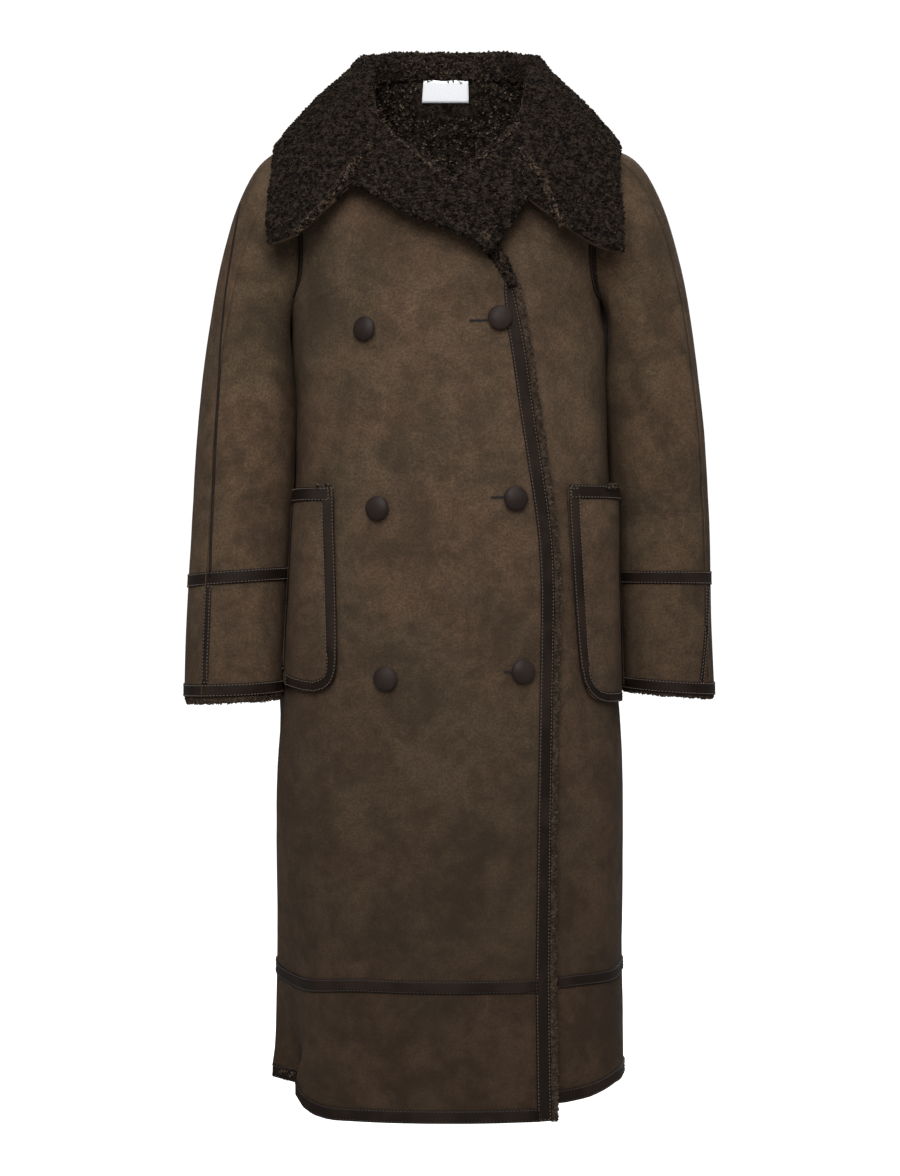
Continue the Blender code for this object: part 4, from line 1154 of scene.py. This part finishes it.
collar_piece()
for seed, node in enumerate(("lapel_right", "lapel_left"), 21):
    lapel_piece(node, seed)
for seed, node in enumerate(("front_edge_pile", "sleeve_right_cuff_pile", "sleeve_left_cuff_pile"), 31):
    fringe_piece(node, seed)
for seed, node in enumerate(("back_right", "back_left", "front_right", "front_left"), 41):
    lining_curls(node, seed)


# What the photograph shows along a line, laid on the piece that carries it

TREES = {}


def surface_tree(name):
    """What a line of sight can meet of a dressed piece, worked out once."""
    if name not in TREES:
        mesh = dressed[name].data
        faces = [tuple(face.vertices) for face in mesh.polygons]
        TREES[name] = BVHTree.FromPolygons([vertex.co for vertex in mesh.vertices], faces)
    return TREES[name]


def seen_place(pixel, carriers):
    """Where a line of sight through a pixel of the photograph first meets one of the pieces."""
    across, down = pixel
    sight = Vector(((across - MIDDLE_ACROSS) / FOCUS, 1.0, (MIDDLE_DOWN - down) / FOCUS)).normalized()
    best = None
    for carrier in carriers:
        place, normal, _, distance = surface_tree(carrier).ray_cast(Vector(CAMERA_PLACE), sight)
        if place is not None and (best is None or distance < best[2]):
            best = (place, normal, distance)
    return best


PLACES_TO_A_STRETCH = 4


def seen_along(pixels, carriers, step=None):
    """The places met along a line of pixels, every step of them, or some to each stretch."""
    met = []
    for (x0, y0), (x1, y1) in zip(pixels, pixels[1:]):
        count = PLACES_TO_A_STRETCH
        if step:
            count = max(1, round(math.hypot(x1 - x0, y1 - y0) / step))
        for number in range(count):
            t = number / count
            met.append(seen_place((x0 + (x1 - x0) * t, y0 + (y1 - y0) * t), carriers))
    met.append(seen_place(pixels[-1], carriers))
    return [place for place in met if place]


def seen_line(pixels, carriers, step, lift):
    """A line through the pixels, lying on the pieces or lifted off them."""
    return [place + normal * lift for place, normal, _ in seen_along(pixels, carriers, step)]


def heading(places, number):
    """Which way a line runs at one of its places."""
    return (places[min(number + 1, len(places) - 1)] - places[max(number - 1, 0)]).normalized()


def tube_along(places, radii, sides, name, flat=1.0):
    """A closed tube through the places; its thickness follows the radii from end to end."""
    rings = []
    stops = np.linspace(0, 1, len(radii))
    for number, place in enumerate(places):
        ahead = heading(places, number)
        aside = ahead.cross(Vector((0, -1, 0))).normalized()
        up = aside.cross(ahead)
        radius = float(np.interp(number / (len(places) - 1), stops, radii))
        angles = [2 * math.pi * turn / sides for turn in range(sides)]
        rings.append([place + (aside * math.cos(a) + up * math.sin(a) * flat) * radius for a in angles])
    return swept(rings, name)


# Rolls of curls, by their pixels: the gorges between collar and lapels, the edges of the neck, tufts at
# the pockets' mouths and the hem, and the right lapel's tail
PILE_RIDGES = (
    dict(name="gorge_right_ridge", on=("collar", "lapel_right"), radii=(0.0014, 0.0032, 0.0030, 0.0022),
         pixels=((371, 143), (358, 160), (343, 180), (327, 202), (310, 219), (296, 233))),
    dict(name="gorge_left_ridge", on=("collar", "lapel_left"), radii=(0.0014, 0.0028, 0.0030, 0.0024),
         pixels=((520, 148), (531, 163), (543, 180), (549, 197), (556, 214), (566, 230))),
    dict(name="neck_edge_right", on=("collar", "lapel_right"), radii=(0.0007, 0.0009, 0.0009, 0.0007),
         pixels=((378, 112), (384, 126), (396, 139), (413, 154), (431, 168), (448, 181))),
    dict(name="neck_edge_left", on=("collar", "lapel_left", "lapel_right"),
         radii=(0.0007, 0.0009, 0.0009, 0.0007),
         pixels=((518, 122), (511, 133), (500, 142), (484, 156), (468, 168), (452, 181))),
    dict(name="pocket_right_tuft", on=("pocket_right_band", "pocket_right", "front_right"),
         radii=(0.0008, 0.0022, 0.0008),
         pixels=((318, 487), (324, 486.5), (330, 486))),
    dict(name="pocket_left_tuft", on=("pocket_left_band", "pocket_left", "front_left"),
         radii=(0.0008, 0.0026, 0.0008),
         pixels=((606, 487), (613, 486.5), (620, 486.5), (625, 486.5))),
    dict(name="hem_right_tuft", radii=(0.0010, 0.0026, 0.0010),
         on=("hem_band_back", "hem_band_front_right", "back_right", "front_right"),
         pixels=((281, 1072), (286, 1073), (291, 1074), (295, 1074))),
    dict(name="lapel_tail", on=("lapel_right", "front_right", "front_edge_strip", "front_left"),
         radii=(0.0070, 0.0082, 0.0062, 0.0052, 0.0046, 0.0040, 0.0030),
         flat=0.5, ground=FRINGE_CURLS, finish=CURLS,
         pixels=((482, 232), (491, 247), (499, 258), (506, 270), (511, 281), (515, 293), (520, 315),
                 (524, 338))),
)
for seed, ridge in enumerate(PILE_RIDGES, 51):
    name = ridge["name"]
    places = seen_line(ridge["pixels"], ridge["on"], step=3.0, lift=0.0008)
    roll = tube_along(places, ridge["radii"], 8, name, ridge.get("flat", 1.0))
    roll.data.materials.append(ridge.get("ground", COLLAR_PILE))
    fixed(roll, "pile")
    curls_all_over(roll, name + "_curls", seed, ridge.get("finish", RIDGE_CURLS), RIDGE_GROWTH)

BUTTONHOLES = (
    dict(name="upper_buttonhole", pixels=((470, 320.5), (480, 320.5), (492, 320))),
    dict(name="middle_buttonhole", pixels=((491, 497.5), (498, 497), (505, 497))),
    dict(name="lower_buttonhole", pixels=((504, 672), (508, 672), (513, 672))),
)

# A buttonhole's slit, and the bars of thread on each side of it
SLIT_RADII = (0.0005, 0.0008, 0.0008)
BARS = dict(pitch=0.0011, length=0.0009, width=0.0004)
BARS_APART = 0.0009
BARS_LIFT = 0.0003


def buttonhole(name, pixels):
    """A near-black tube as the slit, painted shade of its opening, between two rows of short bars of thread,
    on the right front's edge.
    """
    places = seen_line(pixels, ("front_right", "front_edge_strip"), step=1.5, lift=0.0003)
    # The slit's tube is painted shade of the opening, not a cut
    slit = tube_along(places, SLIT_RADII, 6, name)
    slit.data.materials.append(BUTTONHOLE_THREAD_AND_SLIT_SHADE)
    fixed(slit, "leather")
    rim = []
    pairs = []
    for side in (-1, 1):
        pairs += [(len(rim) + number, len(rim) + number + 1) for number in range(len(places) - 1)]
        rim += [place + Vector((0, -BARS_LIFT, side * BARS_APART)) for place in places]
    stitched(line_mesh(rim, pairs, name + "_line"), BUTTONHOLE_THREAD_AND_SLIT_SHADE, name + "_stitches", **BARS)


for hole in BUTTONHOLES:
    buttonhole(**hole)

# Flat strips that follow the sleeve seams and the pockets' edges
SEAM_RIBBONS = (
    dict(name="sleeve_right_upper_seam", on=("sleeve_right_front", "sleeve_right_back"), width=0.0030,
         stands_for=(),
         pixels=((240, 205), (233, 245), (226, 290), (221, 340), (218, 400), (215, 450), (213, 500),
                 (211, 540), (210, 577))),
    dict(name="sleeve_right_lower_seam", on=("sleeve_right_front", "sleeve_right_back"), width=0.0078,
         stands_for=("sleeve_right_seam_strip",),
         pixels=((208.5, 585), (207.5, 610), (206.5, 640), (205.5, 660), (205, 684))),
    dict(name="sleeve_left_lower_seam", on=("sleeve_left_front", "sleeve_left_back"), width=0.0062,
         stands_for=("sleeve_left_seam_strip",),
         pixels=((707.5, 586), (707.2, 603), (706.2, 631), (703.8, 656), (701, 684))),
    dict(name="pocket_right_binding", on=("pocket_right", "front_right"), width=0.0118,
         stands_for=("pocket_right_front_strip", "pocket_right_low_strip"),
         pixels=((327.8, 487), (328.1, 525.5), (329.4, 562.5), (330.5, 599.5), (331.3, 636.5), (331.6, 660),
                 (330.8, 671), (328, 679), (322.5, 684), (314, 686.4), (304, 685.3), (294, 682.5),
                 (286, 679.5))),
    dict(name="pocket_left_binding", on=("pocket_left", "front_left"), width=0.0108,
         stands_for=("pocket_left_front_strip", "pocket_left_low_strip"),
         pixels=((574, 487), (575, 518), (577.5, 558), (579.4, 591), (581, 615), (583, 647), (585, 668),
                 (587.5, 680), (592, 689), (599, 695), (607, 697.5), (616, 697.2), (621.5, 696))),
)


# Across a ribbon: the share of its width from its middle, and how far it stands off the cloth
RIBBON_SECTION = (
    dict(share=-0.50, out=-0.0010),
    dict(share=-0.50, out=0.0006),
    dict(share=-0.42, out=0.0010),
    dict(share=0.0, out=0.0012),
    dict(share=0.42, out=0.0010),
    dict(share=0.50, out=0.0006),
    dict(share=0.50, out=-0.0010),
)


def ribbon_along(pixels, carriers, width, name):
    """A thin flat strip lying on the pieces, centred on the line through the pixels."""
    met = seen_along(pixels, carriers)
    middles = [place for place, _, _ in met]
    rings = []
    for number, (place, normal, _) in enumerate(met):
        aside = heading(middles, number).cross(normal).normalized()
        rings.append([place + aside * row["share"] * width + normal * row["out"] for row in RIBBON_SECTION])
    return swept(rings, name)


for ribbon in SEAM_RIBBONS:
    strip = ribbon_along(ribbon["pixels"], ribbon["on"], ribbon["width"], ribbon["name"])
    strip.data.materials.append(LEATHER)
    dressed[ribbon["name"]] = strip
    fixed(strip, "leather", *ribbon["stands_for"])
    if ribbon["stands_for"]:
        topstitched(ribbon["name"], THREAD)


# Camera, floor and light

def camera():
    data = bpy.data.cameras.new("camera")
    data.lens = CAMERA_LENS
    data.sensor_width = SENSOR
    made = bpy.data.objects.new("camera", data)
    bpy.context.scene.collection.objects.link(made)
    made.location = CAMERA_PLACE
    made.rotation_euler = (math.radians(90), 0, 0)
    bpy.context.scene.camera = made


LAMPS = (
    dict(name="front softbox", place=(-0.25, -3.1, 1.25), target=(0, 0, -0.55), size=(1.8, 2.2), power=120),
    dict(name="top softbox", place=(0.2, -0.9, 2.2), target=(0, 0, -0.4), size=(1.6, 1.2), power=32),
    dict(name="back softbox", place=(0.5, 3.3, 1.3), target=(0, 0, -0.5), size=(2.0, 2.0), power=105),
)


def lamp(name, place, target, size, power):
    data = bpy.data.lights.new(name, "AREA")
    data.shape = "RECTANGLE"
    data.size, data.size_y = size
    data.energy = power
    made = bpy.data.objects.new(name, data)
    bpy.context.scene.collection.objects.link(made)
    made.location = place
    made.rotation_euler = (Vector(target) - Vector(place)).to_track_quat("-Z", "Y").to_euler()


# The floor's grey under the lamps; the white that the camera sees of floor and room; the light all round
FLOOR_GREY = (0.4, 0.4, 0.4, 1.0)
SEEN_WHITE = (1.0, 1.0, 1.0, 1.0)
ROOM_LIGHT = (1.0, 0.99, 0.98, 1.0)


def floor():
    """A floor that is plain white to the camera, and grey to the light."""
    material = bpy.data.materials.new("pale floor")
    material.use_nodes = True
    shader = material.node_tree.nodes["Principled BSDF"]
    shader.inputs["Base Color"].default_value = FLOOR_GREY
    shader.inputs["Roughness"].default_value = 1.0
    shader.inputs["Emission Color"].default_value = SEEN_WHITE
    looked_at = material.node_tree.nodes.new("ShaderNodeLightPath").outputs["Is Camera Ray"]
    material.node_tree.links.new(looked_at, shader.inputs["Emission Strength"])
    bpy.ops.mesh.primitive_plane_add(size=60, location=(0, 0, FLOOR_Z))
    plane = bpy.context.object
    plane.name = "floor"
    plane.data.materials.append(material)


def studio():
    """A white room to the camera, and softer and dimmer light all round for the coat."""
    world = bpy.data.worlds.new("studio light")
    bpy.context.scene.world = world
    world.use_nodes = True
    tree = world.node_tree
    seen = tree.nodes["Background"]
    seen.inputs["Color"].default_value = SEEN_WHITE
    seen.inputs["Strength"].default_value = 1.05
    ambient = tree.nodes.new("ShaderNodeBackground")
    ambient.inputs["Color"].default_value = ROOM_LIGHT
    ambient.inputs["Strength"].default_value = 0.42
    ray = tree.nodes.new("ShaderNodeLightPath")
    choice = tree.nodes.new("ShaderNodeMixShader")
    tree.links.new(ray.outputs["Is Camera Ray"], choice.inputs[0])
    tree.links.new(ambient.outputs[0], choice.inputs[1])
    tree.links.new(seen.outputs[0], choice.inputs[2])
    tree.links.new(choice.outputs[0], tree.nodes["World Output"].inputs["Surface"])
    for row in LAMPS:
        lamp(**row)
    bpy.context.scene.view_settings.view_transform = "Standard"


camera()
floor()
studio()
